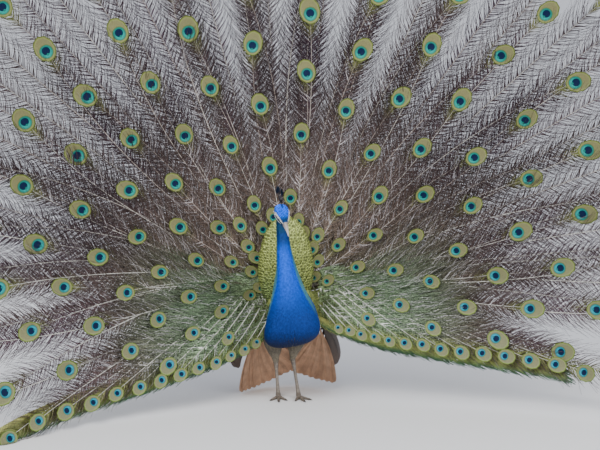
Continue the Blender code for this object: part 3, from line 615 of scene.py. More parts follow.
hem, surface = shader("green_hem", 0.36, 0.30)
vary(hem, surface, own_tone(hem), 160.0, 0.7, 1.4)
add_strips("train_hem", hem_path, hem_across, hem_half, hem, hem_tone,
           feather_place(hem_r, hand * inner))

# ---------------------------------------------------------------------------------- tail behind
# Eighteen stiff brown tail feathers stand in a half circle behind the train and prop it up; their
# shafts are horn, their webs close-knit and finely barred towards the tip.
TAIL_FEATHERS, TAIL_SPREAD = 18, math.radians(84)
TAIL_START, TAIL_REACH, TAIL_ROWS = 0.060, 0.440, 15


def feather_outline(u, base=0.30, full=0.45, tip=0.14):
    """Half width along a feather, largest 1: widens from its base, then ends in a half round."""
    grow = base + (1.0 - base) * ease(u / full)
    return grow * np.sqrt(np.clip(1.0 - ((u - (1.0 - tip)) / tip).clip(0.0) ** 2 * 0.985, 0.0, 1.0))


number = np.arange(TAIL_FEATHERS)
lean = FAN_AXIS + TAIL_SPREAD * (2 * number / (TAIL_FEATHERS - 1) - 1)
u = np.linspace(0.0, 1.0, TAIL_ROWS)
r = TAIL_START + (TAIL_REACH * (1 - 0.10 * (lean / TAIL_SPREAD) ** 2) - TAIL_START)[:, None] * u
depth = HUB[1] + 0.0525 - 0.030 * u * (1 + 0.5 * np.sin(lean)[:, None] ** 2) + 0.0012 * (number % 2)[:, None]
tail_path = np.stack((HUB[0] + r * np.sin(lean)[:, None], depth,
                      HUB[2] + 0.008 + r * np.cos(lean)[:, None]), -1)
tail_across = unit(np.cross(np.gradient(tail_path, axis=1), (0.0, 1.0, 0.0)))
tail_half = 0.029 * feather_outline(u, 0.22, 0.8, 0.10) * np.ones((TAIL_FEATHERS, 1))
brown, pale = np.array((0.085, 0.058, 0.036)), np.array((0.16, 0.12, 0.075))
tail_tone = brown + (pale - brown) * ease((u - 0.55) / 0.45)[:, None]
tail_tone = tail_tone * rng.uniform(0.8, 1.15, (TAIL_FEATHERS, 1, 1))
tail_web = feather_finish("tail_web", 0.6, 0.0, 420.0, 0.0004, 0.72, 1.25, 45.0)
behind = np.broadcast_to((0.0, 1.0, 0.0), tail_path.shape)
tail_place = np.stack((0.1 + 0.8 * number / TAIL_FEATHERS, np.full(TAIL_FEATHERS, 0.5)), -1)
piece = add_strips("tail_feathers", tail_path, tail_across, tail_half, tail_web, tail_tone,
                   tail_place, crown=0.10, lift=behind, columns=7)
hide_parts("tail")
shaft_tone = np.broadcast_to((0.23, 0.17, 0.11), tail_path.shape)
add_strips("tail_shafts", tail_path + (0.0, 0.0042, 0.0), tail_across,
           np.broadcast_to(0.0021 - 0.0014 * u, tail_half.shape), quill, shaft_tone,
           tail_place, crown=0.9, lift=behind, columns=3)

# ------------------------------------------------------------------------------ down under the tail
# A cushion of loose ash-brown plumes hangs behind the vent, each a soft ribbon that droops.
PLUMES, PLUME_ROWS = 3400, 5

k, a = rng.uniform(0.0, 1.0, PLUMES), rng.uniform(0.0, 2 * math.pi, PLUMES)
inward = np.sqrt(rng.uniform(0.15, 1.0, PLUMES))
wide = 0.080 * np.sin(math.pi * (0.10 + 0.80 * k)) ** 0.6 * inward
root = np.stack((0.032 + wide * np.sin(a), 0.203 + 0.040 * k + 0.026 * inward * np.cos(a),
                 0.268 - 0.060 * k + 0.014 * np.cos(a)), -1)
out = np.stack((0.55 * np.sin(a), 0.55 + 0.45 * np.cos(a), -0.95 + 0 * a), -1)
out = unit(out + rng.normal(0, 0.20, (PLUMES, 3)))
v = np.linspace(0.0, 1.0, PLUME_ROWS)
length = rng.uniform(0.020, 0.040, PLUMES)[:, None, None]
sag = np.array((0, 0, -0.45)) * (v ** 2)[None, :, None]
plume_path = root[:, None] + length * (out[:, None] * v[None, :, None] + sag)
plume_across = unit(np.cross(np.gradient(plume_path, axis=1), rng.normal(0, 1, (PLUMES, 1, 3))))
plume_half = np.broadcast_to(0.0024 * (1.0 - 0.75 * v ** 2), plume_path.shape[:2])
ash = np.array((0.17, 0.145, 0.120)) * rng.uniform(0.45, 1.3, (PLUMES, 1))
soft_down = feather_finish("soft_down", 0.85, 0.0, 60.0, 0.0006, 0.8, 1.15, 120.0)
piece = add_strips("undertail_down", plume_path, plume_across, plume_half, soft_down, ash,
                   np.stack((0.05 + 0.9 * k, 0.05 + 0.9 * a / 7.0), -1))
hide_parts("undertail")

# -------------------------------------------------------------------- skin of body, head and legs
# One skin runs from rump to bill, down both thighs and over the scaly feet. It lies under the
# feathers by their depth and carries the same colours; the bare face and the feet show it.
BODY = np.array((                  # belly y, z; back y, z; half width; centre x, from rump to throat
    (0.236, 0.300, 0.236, 0.352, 0.026, 0.034), (0.212, 0.255, 0.214, 0.388, 0.064, 0.033),
    (0.160, 0.228, 0.165, 0.416, 0.069, 0.031), (0.090, 0.2125, 0.095, 0.430, 0.0715, 0.022),
    (0.005, 0.2055, 0.025, 0.436, 0.074, 0.013), (-0.080, 0.2055, -0.030, 0.436, 0.081, 0.008),
    (-0.152, 0.223, -0.066, 0.444, 0.079, 0.000), (-0.196, 0.2695, -0.092, 0.462, 0.0685, -0.008),
    (-0.212, 0.338, -0.110, 0.490, 0.052, -0.0155), (-0.206, 0.410, -0.126, 0.524, 0.036, -0.0216),
    (-0.192, 0.482, -0.130, 0.564, 0.027, -0.0285), (-0.181, 0.548, -0.132, 0.606, 0.0215, -0.033),
    (-0.175, 0.606, -0.132, 0.644, 0.0195, -0.036), (-0.171, 0.640, -0.137, 0.668, 0.018, -0.038)))
BODY_ROLL, BODY_PEAR = 0.145, 0.60
HEAD = np.array((-0.038, -0.166, 0.662))
HEAD_PITCH, HEAD_YAW, HEAD_ROLL = math.radians(50.0), math.radians(9.0), math.radians(-8.0)
SKULL = np.array((                 # distance forward, top, bottom, half width, from nape to bill
    (-0.0345, 0.008, -0.005, 0.0085), (-0.030, 0.0165, -0.0135, 0.0155), (-0.020, 0.0235, -0.0195, 0.0210),
    (-0.006, 0.0262, -0.0215, 0.0228), (0.008, 0.0240, -0.0195, 0.0212), (0.020, 0.0185, -0.0155, 0.0168),
    (0.030, 0.0130, -0.0115, 0.0118), (0.0375, 0.0092, -0.0088, 0.0082)))
EYE_RADIUS, EYE_AT = 0.0062, np.array((0.0105, 0.01666, 0.0040))        # forward, side, up in the head
LEGS = {"right": ((-0.046, 0.020, 0.215), (-0.031, 0.062, 0.126), (-0.026, 0.034), math.radians(-8)),
        "left": ((0.034, 0.012, 0.220), (0.027, 0.056, 0.136), (0.043, 0.022), math.radians(14))}
THIGH_AT, THIGH_RADIUS = (0.0, 0.3, 0.55, 0.78, 1.0), (0.034, 0.030, 0.022, 0.0135, 0.0090)
TOES = {"inner": (0.050, -34), "middle": (0.064, -2), "outer": (0.052, 30), "hind": (0.022, 172)}
WING_STATIONS, WING_ANGLES = (1.75, 3.6), (math.radians(62), math.radians(120))
BODY_GRAIN, HEAD_GRAIN, FOOT_GRAIN = 0.0032, 0.00115, 0.00105


def along_rows(table, s):
    """Catmull-Rom curve through the rows of a table, at stations s."""
    s = np.clip(s, 0.0, len(table) - 1 - 1e-9)
    i = s.astype(int)
    w = (s - i)[..., None]
    p0, p1, p2, p3 = (table[np.clip(i + k, 0, len(table) - 1)] for k in (-1, 0, 1, 2))
    return 0.5 * (2 * p1 + (p2 - p0) * w + (2 * p0 - 5 * p1 + 4 * p2 - p3) * w ** 2
                  + (3 * p1 - p0 - 3 * p2 + p3) * w ** 3)


def body_point(s, angle, off=0.0):
    """Trunk and neck: an ellipse at station s from back to belly; angle 0 is the back, 90 degrees +X."""
    s, angle, off = np.broadcast_arrays(np.asarray(s, float), np.asarray(angle, float), off)
    by, bz, dy, dz, half, cx = np.moveaxis(along_rows(BODY, s), -1, 0)
    cy, cz, uy, uz = (by + dy) / 2, (bz + dz) / 2, (dy - by) / 2, (dz - bz) / 2
    tall = np.hypot(uy, uz)
    square = 1.0 - 0.22 * ease((8.0 - s) / 3.0) * ease((s - 1.0) / 2.0) * (np.cos(angle) < 0)
    up = (tall + off) / tall * np.sign(np.cos(angle)) * np.abs(np.cos(angle)) ** square
    pear = 1.0 - BODY_PEAR * ease((9.5 - s) / 3.0) * ease((s - 0.5) / 2.0) * np.cos(angle)
    aside = (half * pear + off) * np.sign(np.sin(angle)) * np.abs(np.sin(angle)) ** square
    return np.stack((cx + aside, cy + uy * up, cz + uz * up + BODY_ROLL * ease((9.0 - s) / 3.0) * aside), -1)


def turn_about(axis, angle):
    """Rotation matrix about X, Y or Z."""
    c, s = math.cos(angle), math.sin(angle)
    return np.array({"X": ((1, 0, 0), (0, c, -s), (0, s, c)), "Y": ((c, 0, s), (0, 1, 0), (-s, 0, c)),
                     "Z": ((c, -s, 0), (s, c, 0), (0, 0, 1))}[axis])


HEAD_TURN = turn_about("Y", HEAD_ROLL) @ turn_about("Z", HEAD_YAW) @ turn_about("X", HEAD_PITCH)


def head_point(forward, side, up):
    """From the head's own axes (along the bill, to +X, to the crown) to the bird's frame."""
    own = np.stack(np.broadcast_arrays(side, -np.asarray(forward), up), -1)
    return HEAD + own @ HEAD_TURN.T


def head_axes(points):
    """The other way: distance forward, to the side and up in the head's own frame."""
    own = (points - HEAD) @ HEAD_TURN
    return -own[..., 1], own[..., 0], own[..., 2]


def skull_point(s, angle, off=0.0):
    """Skull: an ellipse at station s; angle 0 is the crown, 90 degrees +X."""
    forward, top, bottom, half = np.moveaxis(along_rows(SKULL, np.asarray(s, float)), -1, 0)
    return head_point(forward, (half + off) * np.sin(angle),
                      (top + bottom) / 2 + ((top - bottom) / 2 + off) * np.cos(angle))


def wing_point(u, w, side, off=0.0):
    """Wing pad: the flank raised by a low dome; u runs from tail to shoulder, w from back to belly."""
    s = WING_STATIONS[0] + (WING_STATIONS[1] - WING_STATIONS[0]) * u
    a = WING_ANGLES[0] + (WING_ANGLES[1] - WING_ANGLES[0]) * w
    dome = np.clip(np.sin(math.pi * (0.04 + 0.92 * u)) * np.sin(math.pi * (0.04 + 0.92 * w)), 0, 1) ** 0.6
    return body_point(s, side * a, 0.0012 + 0.014 * dome + off)


def tube_rings(path, radii, sides, rows=None, floor=None):
    """Round tube along a curve through a few points: rings square to the path, kept above the floor."""
    path, radii = np.asarray(path, float), np.asarray(radii, float)
    if rows:
        s = np.linspace(0, len(path) - 1, rows)
        path, radii = along_rows(path, s), along_rows(radii[:, None], s)[:, 0]
    along = unit(np.gradient(path, axis=0))
    pole = np.where(np.abs(along[:, 2:]) < 0.9, (0.0, 0.0, 1.0), (0.0, -1.0, 0.0))
    aside = unit(np.cross(along, pole))
    over = np.cross(aside, along)
    q = 2 * math.pi * (np.arange(sides) + 0.5) / sides
    rings = path[:, None] + radii[:, None, None] * (aside[:, None] * np.cos(q)[None, :, None]
                                                    + over[:, None] * np.sin(q)[None, :, None])
    if floor is not None:
        rings[..., 2] = np.maximum(rings[..., 2], floor)
    return rings


def closed_tube(rings, outward=True):
    """Points and quads of a tube of rings with an even number of sides, its two ends closed."""
    middle = rings[[0, -1]].mean(1, keepdims=True)
    ends = middle + 0.6 * (rings[[0, -1]] - middle)
    rings = np.concatenate((ends[:1], rings, ends[1:]))
    index = np.arange(rings.shape[0] * rings.shape[1]).reshape(rings.shape[:2])
    after = np.roll(index, -1, 1)
    quads = [np.stack((index[:-1], after[:-1], after[1:], index[1:]), -1).reshape(-1, 4)]
    half = rings.shape[1] // 2
    for row, order in ((index[0], -1), (index[-1], 1)):
        back = row[::-1]
        quads.append(np.stack((row[:half - 1], row[1:half], back[1:half], back[:half - 1]), -1)[:, ::order])
    quads = np.concatenate(quads)
    return rings.reshape(-1, 3), quads if outward else quads[:, ::-1]


def join(shells):
    """Several (points, quads) as one."""
    base = np.cumsum([0] + [len(points) for points, _ in shells[:-1]])
    return (np.concatenate([points for points, _ in shells]),
            np.concatenate([quads + start for (_, quads), start in zip(shells, base)]))


def even_skin(shells, grain, smoothing):
    """Overlapping closed shells as one surface of even quads that size, relaxed a few times."""
    points, quads = join(shells)
    mesh = bpy.data.meshes.new("shells")
    mesh.from_pydata(points.tolist(), [], quads.tolist())
    rough = bpy.data.objects.new("shells", mesh)
    bpy.context.scene.collection.objects.link(rough)
    remesh = rough.modifiers.new("remesh", "REMESH")
    remesh.mode, remesh.voxel_size, remesh.adaptivity = "VOXEL", grain, 0.0
    relax = rough.modifiers.new("relax", "SMOOTH")
    relax.factor, relax.iterations = 0.5, smoothing
    bpy.context.view_layer.update()
    even = bpy.data.meshes.new_from_object(rough.evaluated_get(bpy.context.evaluated_depsgraph_get()))
    bpy.data.objects.remove(rough)
    points = np.empty(len(even.vertices) * 3, np.float32)
    even.vertices.foreach_get("co", points)
    corners = np.empty(len(even.loops), np.int32)
    even.loops.foreach_get("vertex_index", corners)
    bpy.data.meshes.remove(even)
    return points.reshape(-1, 3).astype(float), corners.reshape(-1, 4)


def blend(one, other, amount):
    """Colours from one to other by amount: one + (other - one) x amount."""
    one = np.asarray(one)
    return one + (np.asarray(other) - one) * np.asarray(amount)[..., None]


def near_line(forward, up, line):
    """How far a place on the side of the head lies outside a streak (forward, up, half width)."""
    track = along_rows(np.array(line), np.linspace(0, len(line) - 1, 28))
    gap = np.hypot(forward[:, None] - track[:, 0], up[:, None] - track[:, 1]) - track[:, 2]
    return gap.min(1)


def markings(points):
    """Colour of skin and feathers at any place of the bird, linear, before each feather's own variation."""
    y, z = points[..., 1], points[..., 2]
    colour = blend((0.004, 0.008, 0.030), (0.003, 0.036, 0.210), ease((z - 0.215) / 0.10))
    colour = blend(colour, (0.001, 0.086, 0.620), ease((z - 0.32) / 0.16))
    colour = blend(colour, (0.003, 0.040, 0.180), ease((z - 0.545) / 0.05))
    behind = y + 0.30 * (z - 0.20)
    rear = blend((0.026, 0.020, 0.015), (0.075, 0.080, 0.026), ease((z - 0.33) / 0.05))
    colour = blend(colour, rear, ease((behind + 0.005) / 0.05))
    colour = blend(colour, (0.070, 0.058, 0.040), ease((0.212 - z) / 0.02))
    forward, side, up = head_axes(points)
    on_head = ease((0.055 - np.sqrt(forward ** 2 + side ** 2 + up ** 2)) / 0.012)
    face = blend((0.003, 0.040, 0.190), (0.003, 0.150, 0.900), ease((up - 0.006) / 0.010))
    face = blend(face, (0.005, 0.050, 0.170), ease((forward - 0.018) / 0.012) * ease((up + 0.004) / 0.008))
    face = blend(face, (0.004, 0.045, 0.120), ease((-0.004 - up) / 0.010))
    sided = ease((np.abs(side) - 0.0055) / 0.003)
    lore = near_line(forward, up, ((0.0350, -0.0016, 0.0022), (0.024, 0.0000, 0.0034),
                                   (0.012, 0.0026, 0.0050), (0.001, 0.0026, 0.0034),
                                   (-0.008, 0.0040, 0.0014)))
    brow = near_line(forward, up, ((0.037, 0.0030, 0.0014), (0.026, 0.0066, 0.0022), (0.013, 0.0110, 0.0027),
                                   (0.001, 0.0116, 0.0024), (-0.007, 0.0090, 0.0008)))
    cheek = near_line(forward, up, ((0.029, -0.0070, 0.0012), (0.018, -0.0086, 0.0032),
                                    (0.005, -0.0090, 0.0046), (-0.008, -0.0056, 0.0046),
                                    (-0.016, 0.0010, 0.0016)))
    face = blend(face, (0.010, 0.014, 0.030), sided * ease(0.5 - lore / 0.0014))
    bare = sided * np.maximum(ease(0.5 - brow / 0.0014), ease(0.5 - cheek / 0.0014))
    face = blend(face, (0.78, 0.78, 0.74), bare)
    colour = blend(colour, face, on_head)
    foot = ease((0.130 - z) / 0.012) * (np.abs(y - 0.02) < 0.13)
    return blend(colour, (0.140, 0.112, 0.085), foot)


def leg_lines(name):
    """Hip, ankle, heel, ball of the foot and the way each toe points, with its length."""
    hip, ankle, sole, turn = LEGS[name]
    toes = {}
    for toe, (length, aim) in TOES.items():
        aim = turn + math.copysign(1.0, sole[0]) * math.radians(aim)      # mirrored on the two feet
        toes[toe] = (np.array((math.sin(aim), -math.cos(aim), 0.0)), length)
    return (np.array(hip), np.array(ankle), np.array((sole[0], sole[1] + 0.006, 0.018)),
            np.array((sole[0], sole[1], 0.0062)), toes)


def toe_line(ball, way, length, u):
    """A toe from the ball of the foot, sinking to the floor towards its claw."""
    return ball - way * 0.0035 + way * (length * u)[:, None] + np.array((0, 0, -0.0037)) * (u[:, None] ** 0.8)


def toe_radius(toe, u):
    """Half a toe's thickness at share u of its length: a taper with a faint swelling at each joint."""
    thick, joints = (0.0047, 2) if toe == "hind" else (0.0061, 3)
    return thick * (1 - 0.36 * u) * (1 + 0.07 * np.cos(6.3 * u * joints))


around = np.linspace(0, 2 * math.pi, 64, endpoint=False)
stations = np.linspace(0.0, 12.4, 100)[:, None]
coat_depth = 0.0045 - 0.0022 * ease((stations - 7.0) / 4.0)
trunk = [closed_tube(body_point(stations, around, -coat_depth))]
for side in (-1, 1):
    u, w = np.meshgrid(np.linspace(0, 1, 24), np.linspace(0, 1, 18), indexing="ij")
    outside, inside = wing_point(u, w, side, -0.004), wing_point(u, w, side, -0.02)
    trunk.append(closed_tube(np.concatenate((outside, inside[:, ::-1]), 1)))
skull = [closed_tube(skull_point(np.linspace(0, 7, 40)[:, None], around, -0.0011)),
         closed_tube(body_point(np.linspace(11.3, 13.0, 16)[:, None], around, -0.0020))]
feet = []
for name in LEGS:
    hip, ankle, heel, ball, toes = leg_lines(name)
    steps = [hip + (ankle - hip) * f for f in (-0.3, 0.0, 0.3, 0.55, 0.78, 1.0, 1.06)]
    thigh = np.array((0.034, 0.034, 0.030, 0.022, 0.0135, 0.0090, 0.007)) - 0.003
    trunk.append(closed_tube(tube_rings(steps, thigh, 24, 30)))
    steps = [ankle + (heel - ankle) * f for f in (-0.14, 0.0, 0.10, 0.35, 0.7, 0.9, 1.0)]
    shank = (0.0062, 0.0080, 0.0084, 0.0058, 0.0056, 0.0068, 0.0074)
    feet.append(closed_tube(tube_rings(steps, shank, 20, 40)))
    steps = [heel + (0, 0.002, 0.004), heel * 0.4 + ball * 0.6, ball + (0, -0.008, 0)]
    feet.append(closed_tube(tube_rings(steps, (0.0070, 0.0092, 0.0075), 16, 10, 0.0)))
    for toe, (way, length) in toes.items():
        u = np.linspace(0.0, 0.985, 26)
        line = toe_line(ball, way, length, u)
        feet.append(closed_tube(tube_rings(line, toe_radius(toe, u), 16, None, 0.0)))

# Lids: an almond ring of bare skin round each eyeball, its upper half the heavier.
lids = []
q = np.linspace(0, 2 * math.pi, 48, endpoint=False)
for side in (-1, 1):
    for at, thick in ((0.0049, 0.0009), (0.0058, 0.0008)):
        long, tall = at * np.cos(q) * 1.06, at * 0.90 * np.sin(q) * (1 - 0.16 * np.cos(q))
        proud = np.sqrt(np.maximum((EYE_RADIUS + 0.0002) ** 2 - long ** 2 - tall ** 2, 1e-6))
        middle = np.stack((EYE_AT[0] + long, EYE_AT[1] + proud, EYE_AT[2] + tall), -1)
        ring_out = unit(np.stack((long, proud * 0.3, tall), -1))
        ring_up = unit(np.cross(np.roll(middle, -1, 0) - np.roll(middle, 1, 0), ring_out))
        p = np.linspace(0, 2 * math.pi, 8, endpoint=False)
        fat = thick * (1.0 + 0.25 * np.sin(q))[:, None, None]
        band = ring_out[:, None] * np.cos(p)[None, :, None] + ring_up[:, None] * np.sin(p)[None, :, None]
        band = middle[:, None] + fat * band
        band = head_point(band[..., 0], side * band[..., 1], band[..., 2])
        index = np.arange(48 * 8).reshape(48, 8)
        after = np.roll(index, -1, 1)
        quads = np.stack((index, after, np.roll(after, -1, 0), np.roll(index, -1, 0)), -1)
        lids.append((band.reshape(-1, 3), quads.reshape(-1, 4)[:, ::(1 if side > 0 else -1)]))

skin_parts = [even_skin(trunk, BODY_GRAIN, 6), even_skin(skull, HEAD_GRAIN, 3),
              even_skin(feet, FOOT_GRAIN, 2)] + lids
skin_points, skin_quads = join(skin_parts)
skin_tone = markings(skin_points)
skin_tone[-sum(len(points) for points, _ in lids):] = (0.10, 0.11, 0.12)
skin, surface = shader("bare_skin", 0.55)
surface.inputs["Subsurface Weight"].default_value = 0.04
vary(skin, surface, own_tone(skin), 260.0, 0.72, 1.25)
spot = node(skin, "TexCoord").outputs["Object"]
cells = node(skin, "TexVoronoi", {"Vector": spot, "Scale": 520.0}, feature="DISTANCE_TO_EDGE")
cells = cells.outputs["Distance"]
emboss(skin, surface, sum_of(skin, "MINIMUM", cells, 0.25), 0.55, 0.0012)
piece = add_piece("skin", skin_points, skin_quads, skin, skin_tone)
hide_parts("rump", "back", "breast", "neck", "head",
            "thigh_left", "thigh_right", "foot_left", "foot_right")

# ------------------------------------------------------------------------ feathers of the trunk
# Small close-lying feathers cover the bird from throat to rump, every tip over the roots of the
# next row: silky cobalt on neck and breast, navy on the belly, brown-black towards the vent.
NECK_FROM, NECK_SPACING, BREAST_SPACING, REAR_SPACING = 8.2, 0.0041, 0.0052, 0.0072


def add_vanes(name, root, tip, out, half, material, tone, place, rows=4, columns=3, hump=0.10,
              crown=0.25, outline=((0, 0.35, 0.75, 1), (0.45, 1.0, 0.9, 0.25))):
    """Body feathers from root to tip, bowed away from the skin along out, with a given outline."""
    v = np.linspace(0.0, 1.0, rows)
    reach = tip - root
    length = np.linalg.norm(reach, axis=-1)
    path = (root[:, None] + reach[:, None] * v[None, :, None]
            + out[:, None] * (hump * length)[:, None, None] * (4 * v * (1 - v))[None, :, None])
    across = unit(np.cross(np.gradient(path, axis=1), out[:, None]))
    return add_strips(name, path, across, half[:, None] * np.interp(v, *outline), material, tone,
                      place, crown, np.broadcast_to(out[:, None], path.shape), columns)


def staggered_rows(surface, first, last, spacing, loose=0.28):
    """Roots in staggered rings over surface(s, angle), about one spacing apart both ways."""
    s = np.linspace(first, last, 300)
    ring = surface(s[:, None], np.linspace(0, 2 * math.pi, 49)[None])
    travel = np.concatenate(([0.0], np.cumsum(np.linalg.norm(np.diff(ring, axis=0), axis=-1).mean(1))))
    girth = np.linalg.norm(np.diff(ring, axis=1), axis=-1).sum(1)
    at = np.interp(np.arange(0.5, travel[-1] / spacing) * spacing, travel, s)
    count = np.maximum((np.interp(at, s, girth) / spacing).astype(int), 3)
    row = np.repeat(np.arange(len(at)), count)
    k = np.arange(len(row)) - np.repeat(np.cumsum(count) - count, count)
    angle = 2 * math.pi * (k + 0.5 * (row % 2) + rng.uniform(-loose, loose, len(row))) / count[row]
    step = np.gradient(at)[row]
    return at[row] + step * rng.uniform(-loose, loose, len(row)), angle


def frame_of(surface, s, angle):
    """Point, outward normal and metres per station of surface(s, angle)."""
    point = surface(s, angle)
    ahead = (surface(s + 0.02, angle) - surface(s - 0.02, angle)) / 0.04
    aside = (surface(s, angle + 0.03) - surface(s, angle - 0.03)) / 0.06
    return point, unit(np.cross(aside, ahead)), np.linalg.norm(ahead, axis=-1)


parts = []
for first, last, spacing in ((0.15, 4.2, REAR_SPACING), (4.2, NECK_FROM, BREAST_SPACING),
                             (NECK_FROM, 12.9, NECK_SPACING)):
    s, a = staggered_rows(body_point, first, last, spacing)
    parts.append(np.stack((s, a, np.full(len(s), spacing)), -1))
s, a, spacing = np.concatenate(parts).T
forward, side, up = head_axes(body_point(s, a))
keep = (side / 0.020) ** 2 + ((up - 0.002) / 0.021) ** 2 + ((forward + 0.004) / 0.030) ** 2 > 1.0
in_wing = (s > WING_STATIONS[0] + 0.1) & (s < WING_STATIONS[1] - 0.15) & (
    np.abs(np.abs((a + math.pi) % (2 * math.pi) - math.pi) - sum(WING_ANGLES) / 2) < math.radians(30))
s, a, spacing = s[keep & ~in_wing], a[keep & ~in_wing], spacing[keep & ~in_wing]
point, out, speed = frame_of(body_point, s, a)
depth = 0.0045 - 0.0022 * ease((s - 7.0) / 4.0)
length = spacing * rng.uniform(2.6, 3.3, len(s))
root = body_point(s, a, -depth * 0.85)
tip = body_point(s - length / speed, a + rng.normal(0, 0.12, len(s)) * spacing / 0.06,
                 0.0004 + rng.uniform(0, 0.0006, len(s)))
base = markings(point + out * 0.001) * rng.uniform(0.90, 1.10, (len(s), 1))
shade = np.linspace(0.80, 1.12, 5)
beside = ease((np.cos(a) + 0.38) / 0.15) * ease((s - 6.0) / 2.0) * ease((12.0 - s) / 1.0)
base = blend(base, (0.080, 0.260, 0.250), 0.85 * beside)      # turquoise where neck meets back
trunk_tone = base[:, None] * shade[None, :, None]
silk, surface = shader("silky_feathers", 0.48, 0.20)
tone = own_tone(silk)
marks = node(silk, "SeparateXYZ", {0: own_marks(silk)})
slant = sum_of(silk, "ADD", marks.outputs[0], sum_of(silk, "MULTIPLY", marks.outputs[1], 0.6))
wave = sum_of(silk, "SINE", sum_of(silk, "MULTIPLY", slant, 26.0))
vary(silk, surface, tone, 130.0, 0.78, 1.25)
emboss(silk, surface, wave, 0.25, 0.0002)
surface.inputs["Specular IOR Level"].default_value = 0.16
trunk_place = np.stack(((a / (2 * math.pi)) % 1.0, 0.02 + 0.95 * s / 13.0), -1)
add_vanes("trunk_feathers", root, tip, out, spacing * 0.66, silk, trunk_tone, trunk_place,
          rows=5, hump=0.04, crown=0.15, outline=((0, 0.3, 0.7, 0.9, 1), (0.5, 1.0, 0.92, 0.55, 0.12)))

# ------------------------------------------------------------------------- feathers of the head
# The head wears the shortest plumes: velvety cobalt tufts on the crown, about two millimetres on
# the face, and a little less on the white skin over and under each eye.
HEAD_SPACING = 0.00155

s, a = staggered_rows(skull_point, 0.35, 6.95, HEAD_SPACING, 0.35)
point, out, speed = frame_of(skull_point, s, a)
forward, side, up = head_axes(point)
past_lids = np.hypot(forward - EYE_AT[0], (up - EYE_AT[2]) * 1.12) > 0.0066
s, a, point, out, speed = (v[past_lids | (np.abs(side) < 0.012)] for v in (s, a, point, out, speed))
forward, side, up = head_axes(point)
crown_part = ease((up - 0.004) / 0.012) * ease((0.034 - forward) / 0.02)
base = markings(point)
white = ease((base.mean(-1) - 0.35) / 0.2)
length = 0.0020 + 0.0030 * crown_part + 0.0024 * ease(-forward / 0.02)
length = length * (1 - 0.20 * white) * rng.uniform(0.7, 1.3, len(s))
root = skull_point(s, a, -0.0010)
stand = 0.0022 * crown_part + 0.0016 * white
tip = skull_point(s - length / speed, a + rng.normal(0, 0.04, len(s)),
                  0.0003 + stand * rng.uniform(0.2, 1.6, len(s)))
clump = np.sin(point @ (900.0, 300.0, 200.0) + 2.0 * np.sin(point @ (150.0, 500.0, 900.0)))
clump = 1.0 + 0.45 * crown_part * clump
head_tone = base * (clump * rng.uniform(0.65, 1.30, len(s)))[:, None]
head_tone = head_tone[:, None] * np.linspace(0.70, 1.25, 4)[None, :, None]
velvet, surface = shader("velvet_tufts", 0.50, 0.15)
vary(velvet, surface, own_tone(velvet), 420.0, 0.75, 1.25)
surface.inputs["Specular IOR Level"].default_value = 0.15
add_vanes("head_tufts", root, tip, out, 0.00105 + 0.0003 * crown_part, velvet, head_tone,
          np.stack(((a / (2 * math.pi)) % 1.0, 0.02 + 0.95 * s / 7.0), -1), rows=4, columns=2)

# ---------------------------------------------------------------------------------------- crest
# A fan of two dozen wiry shafts, bare but for a few short barbs, each ending in a small webbed
# tip of blue and teal; it grows from the middle of the crown and leans back.
CREST_FEATHERS, CREST_BARBS, CREST_FOOT = 24, 26, (-0.010, 0.0262)
CREST_LEAN, CREST_SPREAD, CREST_LONG = math.radians(-52), math.radians(27), 0.071

edge = np.linspace(-1.0, 1.0, CREST_FEATHERS) + rng.normal(0, 0.02, CREST_FEATHERS)
lean = CREST_LEAN + CREST_SPREAD * edge
top = CREST_LONG * (1.0 - 0.10 * edge ** 2) * rng.uniform(0.93, 1.0, CREST_FEATHERS)
aside = rng.uniform(-1.0, 1.0, CREST_FEATHERS)


def crest_path(u):
    """Points of every crest feather at shares u of its length, with a slight backward bow."""
    along = top[:, None] * u
    bend = lean[:, None] - 0.10 * (1 - u) * (1 - np.abs(edge)[:, None] * 0.5)
    return head_point(CREST_FOOT[0] + 0.0040 * edge[:, None] + along * np.sin(bend) * 1.05,
                      0.0010 * aside[:, None] + 0.0030 * aside[:, None] * u ** 2,
                      CREST_FOOT[1] - 0.002 + along * np.cos(bend))


v = np.linspace(0.0, 1.0, 9)
shaft_path = crest_path(0.92 * v)
fan_normal = np.broadcast_to(HEAD_TURN @ np.array((1.0, 0.0, 0.0)), shaft_path.shape)
shaft_across = unit(np.cross(np.gradient(shaft_path, axis=1), fan_normal))
crest_place = np.stack((0.5 + 0.4 * edge, np.full(CREST_FEATHERS, 0.5)), -1)
wire_tone = np.broadcast_to((0.012, 0.014, 0.025), shaft_path.shape)
wire_half = np.broadcast_to(0.00042 - 0.00015 * v, shaft_path.shape[:2])
piece = add_strips("crest_shafts", shaft_path, shaft_across, wire_half, quill, wire_tone,
                   crest_place, 1.0, fan_normal, columns=3)
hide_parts("crest")
v = np.linspace(0.0, 1.0, 4)
at = np.repeat(0.30 + 0.66 * np.arange(CREST_BARBS) / CREST_BARBS, 2)
hand = np.tile((-1.0, 1.0), CREST_BARBS)
track = crest_path(np.concatenate((at, at + 0.01)))
start, onward = track[:, :len(at)].reshape(-1, 3), track[:, len(at):].reshape(-1, 3)
way = unit(onward - start)
wing_way = unit(np.cross(way, fan_normal[0, 0])) * np.tile(hand, CREST_FEATHERS)[:, None]
webbed = ease((at - 0.70) / 0.10)
reach = 0.0012 + 0.0072 * webbed * np.sqrt(np.clip(1.06 - ((at - 0.84) / 0.16) ** 2, 0.1, 1))
reach = np.tile(reach, CREST_FEATHERS) * rng.uniform(0.85, 1.1, len(reach) * CREST_FEATHERS)
barb_path = start[:, None] + reach[:, None, None] * (
    way[:, None] * (0.85 * v)[None, :, None] + wing_way[:, None] * (0.75 * v - 0.22 * v ** 2)[None, :, None])
